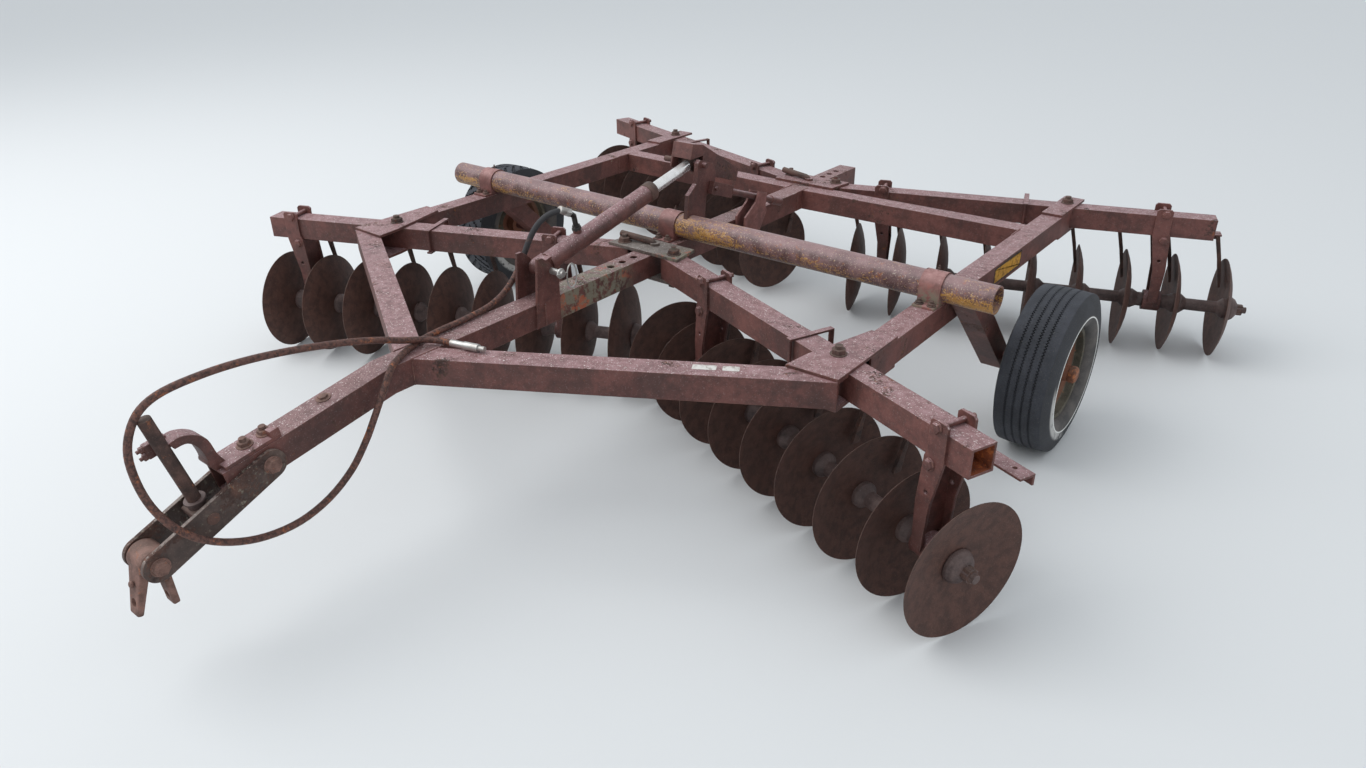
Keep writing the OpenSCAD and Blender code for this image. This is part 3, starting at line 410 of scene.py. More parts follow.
def grainy_rough(marks, rough, share):
    return plus(rough, times(marks["Grain"], share))


def axle_distance(split):
    back = minus(split.outputs["Y"], WHEEL_Y)
    high = minus(split.outputs["Z"], WHEEL_Z)
    return back, high, sums("SQRT", plus(times(back, back), times(high, high)))


print("helpers for materials ready")

# %% [markdown]
# ### Faded maroon paint
# Old paint is a little glossy where it is still whole and dull where it has chalked. The base colour goes
# from maroon to a painted sky sheen on the faces that look up, then rust patches, rubbed edges and pale
# flecks are laid over it. The same recipe with other numbers makes the red oxide on the bearing straps.

# %% Paint recipe


def weathered_paint(name, deep, pale, painted_sheen_colour, fleck, rust_amount=0.35, patch_size=6.0, fleck_amount=0.4,
        rough=0.5, fresh=0.3, edge=0.004, lichen=0.5, primer=None):
    material, tree, shader = start_material(name)
    marks = use_group(tree, wear, Edge_Radius=edge, Patch_Size=patch_size, Patch_Amount=rust_amount,
        Fleck_Amount=fleck_amount, Fleck_Size=170.0)
    rusty = use_group(tree, rust, Fresh_Amount=fresh)
    spot = surface_spot(tree)
    tone = cloud(spot, 2.6, 6.0, 0.6, 0.4)
    mottle = cloud(spot, 34.0, 6.0, 0.7)
    paint = blend(steps(plus(times(tone, 0.6), times(mottle, 0.4)), 0.38, 0.62), deep, pale)
    # Faces that look up are mixed toward the pale sky colour: a painted sheen, the sky's reflection painted
    # into the colour.
    sheen = times(marks["Sky"], steps(mottle, 0.3, 0.75, 0.35, 0.95))
    grime = times(steps(cloud(spot, 5.5, 8.0, 0.7, 0.5), 0.46, 0.62), minus(1.0, marks["Sky"]))
    soiled = blend(times(grime, 0.5), paint, (54, 37, 33))
    with_painted_sheen = blend(sheen, soiled, painted_sheen_colour)
    patched = blend(marks["Patch"], with_painted_sheen, rusty["Color"])
    rubbed = blend(times(marks["Edge"], 0.6), patched, (160, 114, 98))
    grown = cloud(spot, 46.0, 7.0, 0.72)
    where = cloud(spot, 3.1, 4.0, 0.6)
    growth = times(steps(grown, 0.56, 0.64), steps(where, 0.70 - 0.22 * lichen, 0.86 - 0.22 * lichen))
    covered = blend(times(growth, 0.7), rubbed, (136, 130, 114))
    if primer:
        away = put(tree, "VectorMath", {0: spot, 1: primer[:3]}, operation="DISTANCE").outputs["Value"]
        near = steps(away, primer[3], primer[3] * 0.45)
        bare = times(near, steps(cloud(spot, 17.0, 8.0, 0.7), 0.555, 0.60))
        grey = times(near, steps(cloud(spot, 27.0, 8.0, 0.72), 0.44, 0.53))
        covered = blend(times(grey, 0.8), covered, (126, 122, 104))
        covered = blend(times(bare, 0.85), covered, (168, 86, 58))
    flecks = times(marks["Fleck"], plus(times(marks["Sky"], 0.85), 0.08))
    final = blend(flecks, covered, fleck)
    dull = plus(rough, times(marks["Patch"], 0.28))
    relief = plus(times(marks["Grain"], 0.5), times(times(rusty["Height"], marks["Patch"]), 1.4))
    dress(shader, final, grainy_rough(marks, dull, 0.14), relief, 0.35, 0.002, marks)
    return material


# The third colour of each paint is the painted sky sheen laid on the faces that look up.
maroon = weathered_paint("faded_maroon_paint", (76, 42, 37), (112, 67, 60), (164, 130, 132),
    (226, 214, 210), fleck_amount=0.55, fresh=0.5)
tube_paint = weathered_paint("maroon_with_primer", (76, 42, 37), (112, 67, 60), (150, 120, 120),
    (226, 214, 210), fleck_amount=0.55, fresh=0.5, lichen=0.7,
    primer=(0.05, SHAFT_Y - 0.66, TOP - 0.03, 0.30))
plate_paint = weathered_paint("dark_hitch_paint", (58, 44, 39), (92, 72, 64), (146, 132, 124),
    (206, 196, 186), fleck_amount=0.5, lichen=0.9, rust_amount=0.5)
adjuster_paint = weathered_paint("grey_adjuster_paint", (66, 54, 50), (100, 88, 82), (140, 132, 126),
    (216, 208, 200), fleck_amount=0.5, lichen=1.3, primer=(0.21, SHAFT_Y - 0.25, TOP, 0.16))
red_oxide = weathered_paint("red_oxide_paint", (108, 64, 58), (146, 98, 92), (176, 134, 130),
    (214, 194, 186), rust_amount=0.3, patch_size=16.0, lichen=0.2,
    primer=(RAIL_X, SHAFT_Y - 0.09, TOP, 0.10))
print("paints:", maroon.name, red_oxide.name)

# %% [markdown]
# ### Bare rusty steel
# Axles, scrapers and bolts were never painted well. They are rust all over, rougher than paint, with pale
# dust on the faces that look up.

# %% Rusty steel recipe


def rusty_steel(name, dark, middle, fresh, fresh_amount=0.3, scale=14.0, dust=(150, 132, 120),
        dust_amount=0.3, rough=0.68, edge=0.003, hub=False):
    material, tree, shader = start_material(name)
    marks = use_group(tree, wear, Edge_Radius=edge, Patch_Size=9.0, Patch_Amount=0.3, Fleck_Amount=0.5)
    rusty = use_group(tree, rust, Dark=dark, Middle=middle, Fresh=fresh, Fresh_Amount=fresh_amount,
        Scale=scale)
    dust_and_groove_shade = times(plus(times(marks["Sky"], 0.6), 0.4), marks["Fleck"])
    settled = plus(dust_and_groove_shade, times(marks["Sky"], dust_amount), clamp=True)
    final = blend(times(settled, 0.6), rusty["Color"], dust)
    if hub:
        split = put(tree, "SeparateXYZ", {0: surface_spot(tree)})
        reach = axle_distance(split)[2]
        ring = times(steps(reach, 0.15, 0.158), steps(reach, 0.186, 0.178))
        orange = sums("MAXIMUM", steps(reach, 0.072, 0.066), times(ring, 0.8))
        final = blend(times(orange, 0.8), final, blend(rusty["Height"], (104, 60, 46), (160, 96, 68)))
    edged = blend(times(marks["Edge"], 0.4), final, dust)
    dress(shader, edged, grainy_rough(marks, rough, 0.2), rusty["Height"], 0.5, 0.0025, marks)
    return material


bare_rust = rusty_steel("bare_rusty_steel", (52, 37, 33), (90, 64, 56), (140, 82, 50))
disc_rust = rusty_steel("disc_steel", (66, 43, 36), (86, 57, 48), (118, 74, 52), fresh_amount=0.14,
    scale=26.0, dust=(156, 134, 122), dust_amount=0.12, rough=0.6)
spool_steel = rusty_steel("spool_steel", (62, 47, 45), (98, 80, 76), (128, 88, 70), fresh_amount=0.2,
    dust=(152, 130, 124), dust_amount=0.3, rough=0.5)
rim_rust = rusty_steel("rim_steel", (66, 62, 52), (104, 98, 84), (150, 96, 58), fresh_amount=0.4,
    scale=12.0, dust=(150, 142, 128), dust_amount=0.2, hub=True)
hub_rust = rusty_steel("hub_rust", (96, 58, 42), (134, 86, 62), (172, 104, 62), fresh_amount=0.6,
    scale=30.0)
orange_rust = rusty_steel("orange_rust", (112, 58, 36), (158, 84, 48), (196, 112, 60), fresh_amount=0.6,
    scale=30.0, dust_amount=0.05)
clevis_rust = rusty_steel("clevis_rust", (82, 58, 50), (126, 94, 84), (152, 92, 62), fresh_amount=0.4,
    scale=20.0, dust=(168, 140, 128), dust_amount=0.3)
print("steels:", bare_rust.name, disc_rust.name, rim_rust.name)

# %% [markdown]
# ### Yellow paint over primer
# The lift shaft was yellow once. What is left is a thin, streaky coat with purple primer and rust showing
# through, most of all near the bearings.

# %% Worn yellow
yellow, tree, shader = start_material("worn_yellow_paint")
marks = use_group(tree, wear, Patch_Size=7.0, Patch_Amount=0.5, Fleck_Amount=0.6, Fleck_Size=150.0)
rusty = use_group(tree, rust, Dark=(84, 58, 57), Middle=(130, 99, 98), Fresh=(150, 88, 52),
    Fresh_Amount=0.4)
spot = surface_spot(tree)
stretched = put(tree, "Mapping", {"Vector": spot, "Scale": (0.45, 1.6, 1.6)}).outputs[0]
thin = cloud(stretched, 11.0, 9.0, 0.68, 0.5)
fleck_thin = cloud(spot, 70.0, 6.0, 0.7)
split = put(tree, "SeparateXYZ", {0: spot})
low_side = steps(split.outputs["Z"], SHAFT_Z + 0.03, SHAFT_Z - 0.03, 0.0, 0.04)
near_middle = steps(sums("ABSOLUTE", minus(split.outputs["X"], 0.12)), 0.42, 0.04, 0.0, 0.045)
far_end = steps(sums("ABSOLUTE", split.outputs["X"]), 1.2, 1.4, 0.0, 0.03)
helped = plus(plus(low_side, near_middle), far_end)
specks = cloud(spot, 150.0, 5.0, 0.75)
worn = plus(times(thin, 0.32), plus(times(fleck_thin, 0.3), times(specks, 0.38)))
left = steps(plus(worn, helped), 0.552, 0.582)
ochre = blend(cloud(spot, 30.0, 5.0), (168, 112, 36), (214, 166, 84))
coat = blend(times(left, 0.85), rusty["Color"], ochre)
dusted = blend(times(marks["Sky"], 0.35), coat, (180, 150, 150))
flecked = blend(times(marks["Fleck"], 0.45), dusted, (222, 206, 188))
dress(shader, flecked, grainy_rough(marks, 0.36, 0.2), plus(left, rusty["Height"]), 0.35, 0.002, marks)
print("worn yellow ready")

# %% Sticker finish


def sticker_paint(name, pale, dark, border):
    material, tree, shader = start_material(name)
    spot = surface_spot(tree)
    stain = steps(cloud(spot, 40.0, 7.0, 0.7), 0.46, 0.62)
    colour = blend(stain, pale, dark)
    edge = put(tree, "Attribute", attribute_name="border").outputs["Fac"]
    tree.links.new(blend(steps(edge, 0.25, 0.4), colour, border), shader.inputs["Base Color"])
    tree.links.new(plus(0.45, times(stain, 0.3)), shader.inputs["Roughness"])
    return material


yellow_sticker = sticker_paint("yellow_sticker", (206, 150, 40), (150, 104, 44), (44, 36, 32))
pale_sticker = sticker_paint("pale_sticker", (214, 210, 204), (168, 160, 152), (190, 184, 176))
print("sticker finishes ready")

# %% [markdown]
# ### Rubber
# Tyre rubber goes blue grey with age and its groove bottoms carry painted shade. The hose starts black at
# the cylinder and has turned rusty brown along its length, so its material reads how far along the hose a
# point lies.

# %% Tyre rubber
tyre_rubber, tree, shader = start_material("tyre_rubber")
marks = use_group(tree, wear, Edge_Radius=0.002, Patch_Size=5.0, Patch_Amount=0.5, Fleck_Size=210.0,
    Fleck_Amount=0.45)
spot = surface_spot(tree)
split = put(tree, "SeparateXYZ", {0: spot})
back, high, reach = axle_distance(split)
tone = cloud(spot, 9.0, 7.0, 0.65)
tread = blend(steps(tone, 0.3, 0.7), (44, 46, 52), (62, 64, 71))
wall = blend(steps(tone, 0.3, 0.7), (62, 60, 60), (98, 92, 88))
groove = steps(reach, 0.3466, 0.3436)
# The bottoms of the grooves are painted darker: painted shade in the recess.
dust_and_groove_shade = blend(times(groove, 0.5), tread, (34, 33, 34))
ribs = put(tree, "Mapping", {"Vector": spot, "Scale": (1.0, 2.2, 2.2)}).outputs[0]
sipe = times(steps(cloud(ribs, 150.0, 2.0, 0.5), 0.54, 0.60), steps(reach, 0.3465, 0.348))
siped = blend(times(sipe, 0.55), dust_and_groove_shade, (30, 31, 35))
colour = blend(steps(reach, 0.262, 0.256), siped, wall)
line = times(steps(reach, 0.2485, 0.2498), steps(reach, 0.2552, 0.2540))
white = times(times(line, steps(split.outputs["X"], 1.76, 1.769)),
    steps(cloud(spot, 22.0, 6.0, 0.7), 0.26, 0.42, 0.45, 1.0))
lower = plus(times(high, -0.6), times(back, -0.8))
smear = times(steps(lower, 0.17, 0.235), times(steps(reach, 0.246, 0.252), steps(reach, 0.292, 0.276)))
pale_wall = times(smear, steps(cloud(spot, 26.0, 6.0, 0.7), 0.36, 0.5))
marked = blend(times(pale_wall, 0.85), colour, (196, 194, 190))
lined = blend(white, marked, (232, 232, 228))
dusted = blend(times(marks["Fleck"], 0.4), lined, (128, 122, 112))
dress(shader, dusted, grainy_rough(marks, 0.62, 0.25), marks["Grain"], 0.3, 0.001, marks)
print("tyre rubber ready")

# %% Hose rubber
hose_rubber, tree, shader = start_material("hose_rubber")
spot = surface_spot(tree)
reach = put(tree, "Attribute", attribute_name="along").outputs["Fac"]
blotch = cloud(spot, 26.0, 7.0, 0.66)
fine = cloud(spot, 380.0, 4.0, 0.6)
crust = cloud(spot, 90.0, 6.0, 0.72)
turned = plus(steps(reach, 0.05, 0.3, 0.0, 0.7), times(blotch, 0.55))
brown = blend(steps(crust, 0.36, 0.62), (56, 36, 31), (108, 72, 62))
orange = blend(times(steps(blotch, 0.54, 0.66), steps(crust, 0.44, 0.6)), brown, (164, 96, 56))
black = blend(fine, (34, 33, 36), (60, 58, 60))
aged = blend(steps(turned, 0.42, 0.66), black, orange)
dress(shader, aged, plus(0.5, times(fine, 0.3)), plus(fine, times(crust, 2.0)), 0.6, 0.002)
hose.data.materials.append(hose_rubber)
print("hose rubber ready")

# %% [markdown]
# ### Bright metal
# The piston rod is hard chrome with faint grey streaks, and the elbow, coupler and base pin are zinc
# plated and have gone dull.

# %% Chrome and zinc


def bright_metal(name, clean, stained, rough, stain):
    material, tree, shader = start_material(name)
    marks = use_group(tree, wear, Edge_Radius=0.002, Patch_Size=18.0, Patch_Amount=stain, Fleck_Amount=0.4)
    spot = surface_spot(tree)
    smear = steps(cloud(spot, 16.0, 6.0, 0.6), 0.35, 0.7)
    colour = blend(smear, clean, stained)
    spotted = blend(times(marks["Patch"], 0.7), colour, (120, 88, 66))
    shader.inputs["Metallic"].default_value = 0.85
    dress(shader, spotted, plus(rough, times(smear, 0.2)), marks["Grain"], 0.08, 0.001, marks)
    return material


chrome = bright_metal("hard_chrome", (246, 244, 242), (222, 218, 214), 0.2, 0.1)
zinc = bright_metal("dull_zinc", (196, 194, 190), (160, 154, 148), 0.34, 0.25)
dark_fitting = bright_metal("dark_fitting", (70, 68, 66), (52, 48, 46), 0.4, 0.2)
print("bright metals ready")

# %% [markdown]
# ## Small pieces
# The frame's solids come from the part. What it leaves out are the things a hand would touch first: bolt
# heads with washers, nuts on studs, weld beads, bent pins and the tread of the tyres. Each of them starts
# as a primitive, is shaped in edit mode and is copied to its places. A few helpers keep that short.

# %% Helpers that select, copy and settle


def pick(obj, kind, test):
    if bpy.context.object != obj or obj.mode != "EDIT":
        only(obj)
        edit_mode()
    bpy.ops.mesh.select_mode(type=kind)
    bpy.ops.mesh.select_all(action="DESELECT")
    mesh = bmesh.from_edit_mesh(obj.data)
    for part in {"VERT": mesh.verts, "EDGE": mesh.edges, "FACE": mesh.faces}[kind]:
        if test(part):
            part.select_set(True)
    bmesh.update_edit_mesh(obj.data)


def joined(pieces):
    only(pieces[0])
    for piece in pieces:
        piece.select_set(True)
    bpy.ops.object.join()
    bpy.ops.object.transform_apply()
    return bpy.context.object


def copies_at(model, places):
    made = []
    for place in places:
        only(model)
        bpy.ops.object.duplicate()
        bpy.context.object.matrix_world = place @ model.matrix_world
        made.append(bpy.context.object)
    only(model)
    bpy.ops.object.delete()
    return made


def settle(pieces, name, body="frame", material=bare_rust, angle=35):
    piece = joined(pieces)
    edit_mode()
    select_everything()
    bpy.ops.mesh.normals_make_consistent(inside=False)
    object_mode()
    bpy.ops.object.shade_smooth_by_angle(angle=radians(angle))
    piece.name = name
    piece.data.materials.clear()
    piece.data.materials.append(material)
    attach(piece, body)
    print(name, len(piece.data.polygons), "faces")
    return piece


def seat(point, up, clock=(1, 0, 0)):
    z = Vector(up).normalized()
    if abs(z.dot(Vector(clock))) > 0.99:
        clock = (0, 1, 0)
    x = Vector(clock) - z * z.dot(Vector(clock))
    x.normalize()
    return Matrix.Translation(Vector(point)) @ Matrix((x, z.cross(x), z)).transposed().to_4x4()


def bevelled(piece, test, offset, segments):
    pick(piece, "EDGE", test)
    bpy.ops.mesh.bevel(offset=offset, segments=segments)
    object_mode()
    return piece


def drum(radius, height, sides=24, low=0.0, edge=0.0, segments=2):
    nothing_selected()
    middle = (0, 0, low + height / 2)
    bpy.ops.mesh.primitive_cylinder_add(vertices=sides, radius=radius, depth=height, location=middle)
    bpy.ops.object.transform_apply()
    piece = bpy.context.object
    if edge:
        bevelled(piece, lambda e: abs(e.verts[0].co.z - e.verts[1].co.z) < 1e-6, edge, segments)
    return piece


print("modelling helpers ready")

# %% [markdown]
# ### Bolts, nuts and studs
# A forged head has six flats, a worn chamfer on top and a washer below. A nut shows the end of its bolt
# with a few turns of thread, made here as ridges, since the turns are only a millimetre high. Heads are
# cut a little larger than the plain ones of the part, so that they cover them.

# %% Hex head, nut and stud


def round_plate(radius, sides, low=0.0):
    nothing_selected()
    bpy.ops.mesh.primitive_circle_add(vertices=sides, radius=radius, fill_type="NGON", location=(0, 0, low))
    bpy.ops.object.transform_apply()
    return bpy.context.object


def pull(way):
    bpy.ops.mesh.extrude_region_move(TRANSFORM_OT_translate={"value": way})


def hex_head(radius, height, washer=0.0, stud=0.0, stud_top=0.0):
    nothing_selected()
    bpy.ops.mesh.primitive_cylinder_add(vertices=6, radius=radius, depth=height,
        location=(0, 0, height / 2), rotation=(0, 0, radians(30)))
    bpy.ops.object.transform_apply()
    parts = [bevelled(bpy.context.object, lambda e: all(v.co.z > 0.99 * height for v in e.verts),
        0.16 * radius, 2)]
    if washer:
        parts.append(drum(washer, 0.0035, 28, edge=0.0008))
    if stud:
        parts.append(stud_end(stud, height - 0.002, stud_top))
    return joined(parts)


def stud_end(radius, low, high):
    stud = round_plate(radius, 16, low)
    edit_mode()
    turns = max(int((high - low) / 0.0026), 2)
    for turn in range(turns):
        for scale in (0.9, 1 / 0.9):
            pull((0, 0, (high - low) / turns / 2))
            bpy.ops.transform.resize(value=(scale, scale, 1), center_override=(0, 0, low))
    object_mode()
    return stud


print("bolt helpers ready")

# %% Frames of the four gangs
DISC_PITCH = 0.233


def gang_frame(front, side):
    if front:
        place = moved(FRONT_PIVOT_X, FRONT_PIVOT_Y, 0) @ rotated(-FRONT_ANGLE, "Z")
    else:
        place = moved(REAR_PIVOT_X, REAR_PIVOT_Y, 0) @ rotated(REAR_ANGLE, "Z")
    return place if side > 0 else Matrix.Scale(-1, 4, (1, 0, 0)) @ place


def hub_x(front, number):
    return (0.651 if front else 0.838) - number * DISC_PITCH


GANGS = [("front_left", True, 1), ("front_right", True, -1), ("rear_left", False, 1),
    ("rear_right", False, -1)]
print("gang frames at", [tuple(round(v, 2) for v in gang_frame(f, s).translation) for _, f, s in GANGS])

# %% Bolts through the standards and over the beams
heads, nuts = [], []
for _, front, side in GANGS:
    lean = 1 if front else -1
    for number in ((0, 6) if front else (1, 7)):
        middle = hub_x(front, number) - DISC_PITCH / 2
        for out, height in ((0.026, TOP + 0.012), (0.014, TOP - TUBE - 0.022)):
            spot = middle + lean * out
            heads.append(gang_frame(front, side) @ seat((spot, -0.062, height), (0, -1, 0)))
            nuts.append(gang_frame(front, side) @ seat((spot, 0.062, height), (0, 1, 0)))
made = copies_at(hex_head(0.0192, 0.0155, 0.0215), heads)
made += copies_at(hex_head(0.0192, 0.0155, 0.0215, 0.0098, 0.03), nuts)
settle(made, "standard_bolts", "frame", maroon)

# %% Bolts of the pivots, straps and adjuster plates
PIVOT_HEAD = (0.0275, 0.022, 0.031)
TIE_HEAD = (0.0275, 0.0225, 0.032)
TIE_X = 0.145
FOOT_Y = 0.085


def bolts_on(spots, height, up, *sizes):
    return copies_at(hex_head(*sizes), [seat((x, y, height), (0, 0, up)) for x, y in spots])


pivots = [(side * x, y) for x, y in ((FRONT_PIVOT_X, FRONT_PIVOT_Y), (REAR_PIVOT_X, REAR_PIVOT_Y))
    for side in (1, -1)]
feet = [(x + across, SHAFT_Y + y) for x in (-RAIL_X, -0.034, RAIL_X) for across in (-0.026, 0.026)
    for y in (-FOOT_Y, FOOT_Y)]
FRONT_BOLT_Y = FRONT_PIVOT_Y + (FRONT_PIVOT_X - TIE_X) * tan(radians(FRONT_ANGLE))
REAR_BOLT_Y = REAR_PIVOT_Y - (REAR_PIVOT_X - TIE_X) * tan(radians(REAR_ANGLE))
ties = [(x, y) for x in (-TIE_X, TIE_X) for y in (FRONT_BOLT_Y, REAR_BOLT_Y)]
made = bolts_on(pivots, TOP + 0.012, 1, *PIVOT_HEAD, 0.0155, 0.034)
made += bolts_on(pivots, TOP - TUBE - 0.012, -1, *PIVOT_HEAD)
made += bolts_on(feet, TOP + 0.01, 1, 0.016, 0.012, 0.0185, 0.0085, 0.022)
made += bolts_on(ties, TOP + 0.014, 1, *TIE_HEAD, 0.0122, 0.036)
made += bolts_on(ties, TOP - TUBE - 0.014, -1, *TIE_HEAD)
settle(made, "frame_bolts")

# %% Bolts of the hitch, in the frames of the drawbar, the hitch plates and the levelling rod
HITCH_LENGTH = 0.426
drawbar_frame = moved(0, SHAFT_Y - 1.692, TOP) @ rotated(9.7)
hitch_frame = drawbar_frame @ moved(0, -0.5, -0.06) @ rotated(11.8)
trunnion = hitch_frame @ moved(0, -0.232, 0)
level_frame = trunnion @ rotated(-8.5)
made = []
for side in (1, -1):
    ends = [hitch_frame @ seat((side * 0.0654, y, 0), (side, 0, 0), (0, 0, -1)) for y in (0, -HITCH_LENGTH)]
    stud = 0.0 if side > 0 else 0.0138
    made += copies_at(hex_head(0.0255, 0.019, 0.03, stud, 0.034), ends)
on_bracket = [drawbar_frame @ seat((0, y - 0.64, 0.014), (0, 0, 1)) for y in (0.112, 0.182)]
made += copies_at(hex_head(0.0212, 0.017, 0.027, 0.0115, 0.029), on_bracket)
made += copies_at(hex_head(0.0175, 0.012, 0.026), [drawbar_frame @ seat((-0.012, -0.231, 0), (0, 0, 1))])
settle(made, "hitch_bolts", material=clevis_rust)
print("nose bolt at", [round(v, 3) for v in hitch_frame @ Vector((0, -HITCH_LENGTH, 0))])

# %% [markdown]
# ### Pins
# Each adjuster plate is held by a drop pin, a bar bent over by a right angle so that a hand can lift it
# out. The bar is a disc swept along its bend with a spin.

# %% Bent drop pins


def bent_pin(radius, upright, reach, bend=0.03):
    pin = round_plate(radius, 18)
    edit_mode()
    pull((0, 0, upright))
    bpy.ops.mesh.spin(steps=8, angle=radians(86), center=(-bend, 0, upright), axis=(0, 1, 0))
    direction = Vector((-sin(radians(86)), 0, cos(radians(86))))
    pull(direction * reach)
    pull(direction * 0.003)
    bpy.ops.transform.resize(value=(0.8, 0.8, 0.8))
    object_mode()
    return pin


pin_spots = []
for y, back in ((FRONT_BOLT_Y, 1), (REAR_BOLT_Y, -1)):
    turn = rotated(7 * back, "Z")
    pin_spots.append(moved(0, y + back * 0.044, TOP - 0.012) @ turn)
settle(copies_at(bent_pin(0.0155, 0.012, 0.155), pin_spots), "drop_pin_handles")

# %% [markdown]
# ### Tyres
# The left tyre is a worn road tyre with four fine zigzag grooves, a sharp shoulder and a raised line on
# its wall. Its section is one closed outline, spun about the axle in an even number of steps, so that
# every second ring of the groove edges can be pushed sideways and gives the zigzag. The right tyre has
# cross lugs, made from the same section without its grooves by sinking the faces between the lugs.

# %% Section of a tyre
wall_mm = [(97, 345.6), (98.5, 342), (103, 330), (109.5, 313), (115, 293), (118, 273), (117.6, 258),
    (117.4, 254.6), (118.8, 253.8), (118.8, 249.6), (116.6, 248.8), (113, 236), (106.5, 221), (97, 210),
    (86, 204.6), (77.5, 203), (74, 195), (71, 191)]
crown_mm = [(86, 347), (66, 348.3), (53.6, 348.9), (52.2, 342.6), (47.8, 342.6), (46.4, 349.1),
    (34, 349.5), (20.6, 349.8), (19.2, 343.4), (14.8, 343.4), (13.4, 349.9), (7, 350)]


def tyre_section(grooves):
    crown = [p for p in crown_mm if grooves or p[1] > 345]
    right = list(reversed(wall_mm)) + crown
    left = [(-x, r) for x, r in reversed(right)]
    return [Vector((x / 1000, 0, r / 1000)) for x, r in right + [(0, 350)] + left]


def outline(points):
    nothing_selected()
    bpy.ops.mesh.primitive_circle_add(vertices=len(points), radius=1, fill_type="NOTHING")
    loop = bpy.context.object
    edit_mode()
    mesh = bmesh.from_edit_mesh(loop.data)
    for vertex, point in zip(mesh.verts, points):
        vertex.co = point
    bmesh.update_edit_mesh(loop.data)
    return loop


def spun(points, steps, axis=(1, 0, 0), angle=360.0):
    ring = outline(points)
    select_everything()
    bpy.ops.mesh.spin(steps=steps, angle=radians(angle), center=(0, 0, 0), axis=axis)
    select_everything()
    bpy.ops.mesh.remove_doubles(threshold=0.00002)
    bpy.ops.mesh.normals_make_consistent(inside=False)
    object_mode()
    return ring


print("tyre section:", len(tyre_section(True)), "points")

# %% Road tyre with zigzag grooves
TYRE_STEPS = 340


def step_of(point):
    return round(degrees(atan2(point.y, point.z)) / (360 / TYRE_STEPS))


def on_groove(point):
    return hypot(point.y, point.z) > 0.340 and min(abs(abs(point.x) - 0.017),
        abs(abs(point.x) - 0.05)) < 0.0040


road_tyre = spun(tyre_section(True), TYRE_STEPS)
for odd, shift in ((0, 0.0046), (1, -0.0046)):
    pick(road_tyre, "VERT", lambda v: on_groove(v.co) and step_of(v.co) % 2 == odd)
    bpy.ops.transform.translate(value=(shift, 0, 0))
object_mode()
road_tyre.location = (WHEEL_X, WHEEL_Y, WHEEL_Z)
settle([road_tyre], "road_tyre_left", "wheel_left", tyre_rubber, 50)
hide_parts("tyre_left")

# %% Lugged tyre on the other side
lug_tyre = spun(tyre_section(False), TYRE_STEPS)


def between_lugs(face):
    middle = face.calc_center_median()
    if hypot(middle.y, middle.z) < 0.3445 or abs(middle.x) > 0.097:
        return False
    slant = abs(middle.x) * 1000 / 7
    angle = degrees(atan2(middle.y, middle.z)) / (360 / TYRE_STEPS)
    return (angle + slant + (5 if middle.x > 0 else 0)) % 10 < 3.4


pick(lug_tyre, "FACE", between_lugs)
bpy.ops.mesh.extrude_region_shrink_fatten(TRANSFORM_OT_shrink_fatten={"value": -0.008})
object_mode()
lug_tyre.location = (-WHEEL_X, WHEEL_Y, WHEEL_Z)
settle([lug_tyre], "lug_tyre_right", "wheel_right", tyre_rubber, 50)
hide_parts("tyre_right")

# %% Hub caps and wheel nuts
for side, body in ((1, "wheel_left"), (-1, "wheel_right")):
    cap = drum(0.037, 0.04, 40, low=0.082, edge=0.014, segments=5)
    collar = drum(0.047, 0.012, 32, low=0.03, edge=0.002)
    hub = copies_at(joined([cap, collar]), [seat((side * WHEEL_X, WHEEL_Y, WHEEL_Z), (side, 0, 0))])
    ring = []
    for number in range(5):
        angle = radians(72 * number + 18)
        spot = (side * (WHEEL_X + 0.023), WHEEL_Y + 0.057 * cos(angle), WHEEL_Z + 0.057 * sin(angle))
        ring.append(seat(spot, (side, 0, 0)))
    hub += copies_at(hex_head(0.0105, 0.013, 0.0, 0.0062, 0.019), ring)
    settle(hub, "hub_" + body, body, material=hub_rust)

# %% [markdown]
# ### Hitch
# The levelling rod is a little taller than the plain bar of the part. It stands in a block that turns on
# two stubs between the hitch plates. The clevis is a cast boss with two unlike jaws, a flat tapered one
# in front and one that slopes back.

# %% Block that is shaped by moving its lower and upper ends


def block(size, middle=(0, 0, 0), low=(1, 1), high=(1, 1), edge=0.003, segments=2):
    nothing_selected()
    bpy.ops.mesh.primitive_cube_add(size=1)
    bpy.ops.transform.resize(value=size)
    bpy.ops.object.transform_apply()
    piece = bpy.context.object
    for end, scale in ((-1, low), (1, high)):
        if scale != (1, 1):
            pick(piece, "FACE", lambda f: f.normal.z * end > 0.9)
            bpy.ops.transform.resize(value=(scale[0], scale[1], 1), center_override=(0, 0, 0))
    bevelled(piece, lambda e: True, edge, segments)
    piece.location = middle
    bpy.ops.object.transform_apply()
    return piece


def placed(piece, place):
    piece.matrix_world = place @ piece.matrix_world
    only(piece)
    bpy.ops.object.transform_apply()
    return piece


print("block helpers ready")

# %% Levelling rod with its block and clamp
parts = [placed(block((0.09, 0.068, 0.068), edge=0.006, segments=3), trunnion)]
for side in (1, -1):
    parts.append(placed(drum(0.0205, 0.0245, 32, low=0.044, edge=0.003), trunnion
        @ seat((0, 0, 0), (side, 0, 0))))
parts.append(placed(drum(0.021, 0.374, 32, edge=0.0015), level_frame))
settle(parts, "levelling_rod")
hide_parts("level_rod")
settle([placed(drum(0.034, 0.008, 36, low=0.049, edge=0.002), level_frame),
    placed(drum(0.029, 0.022, 36, low=0.028, edge=0.002), level_frame)], "rod_collar",
    material=spool_steel)

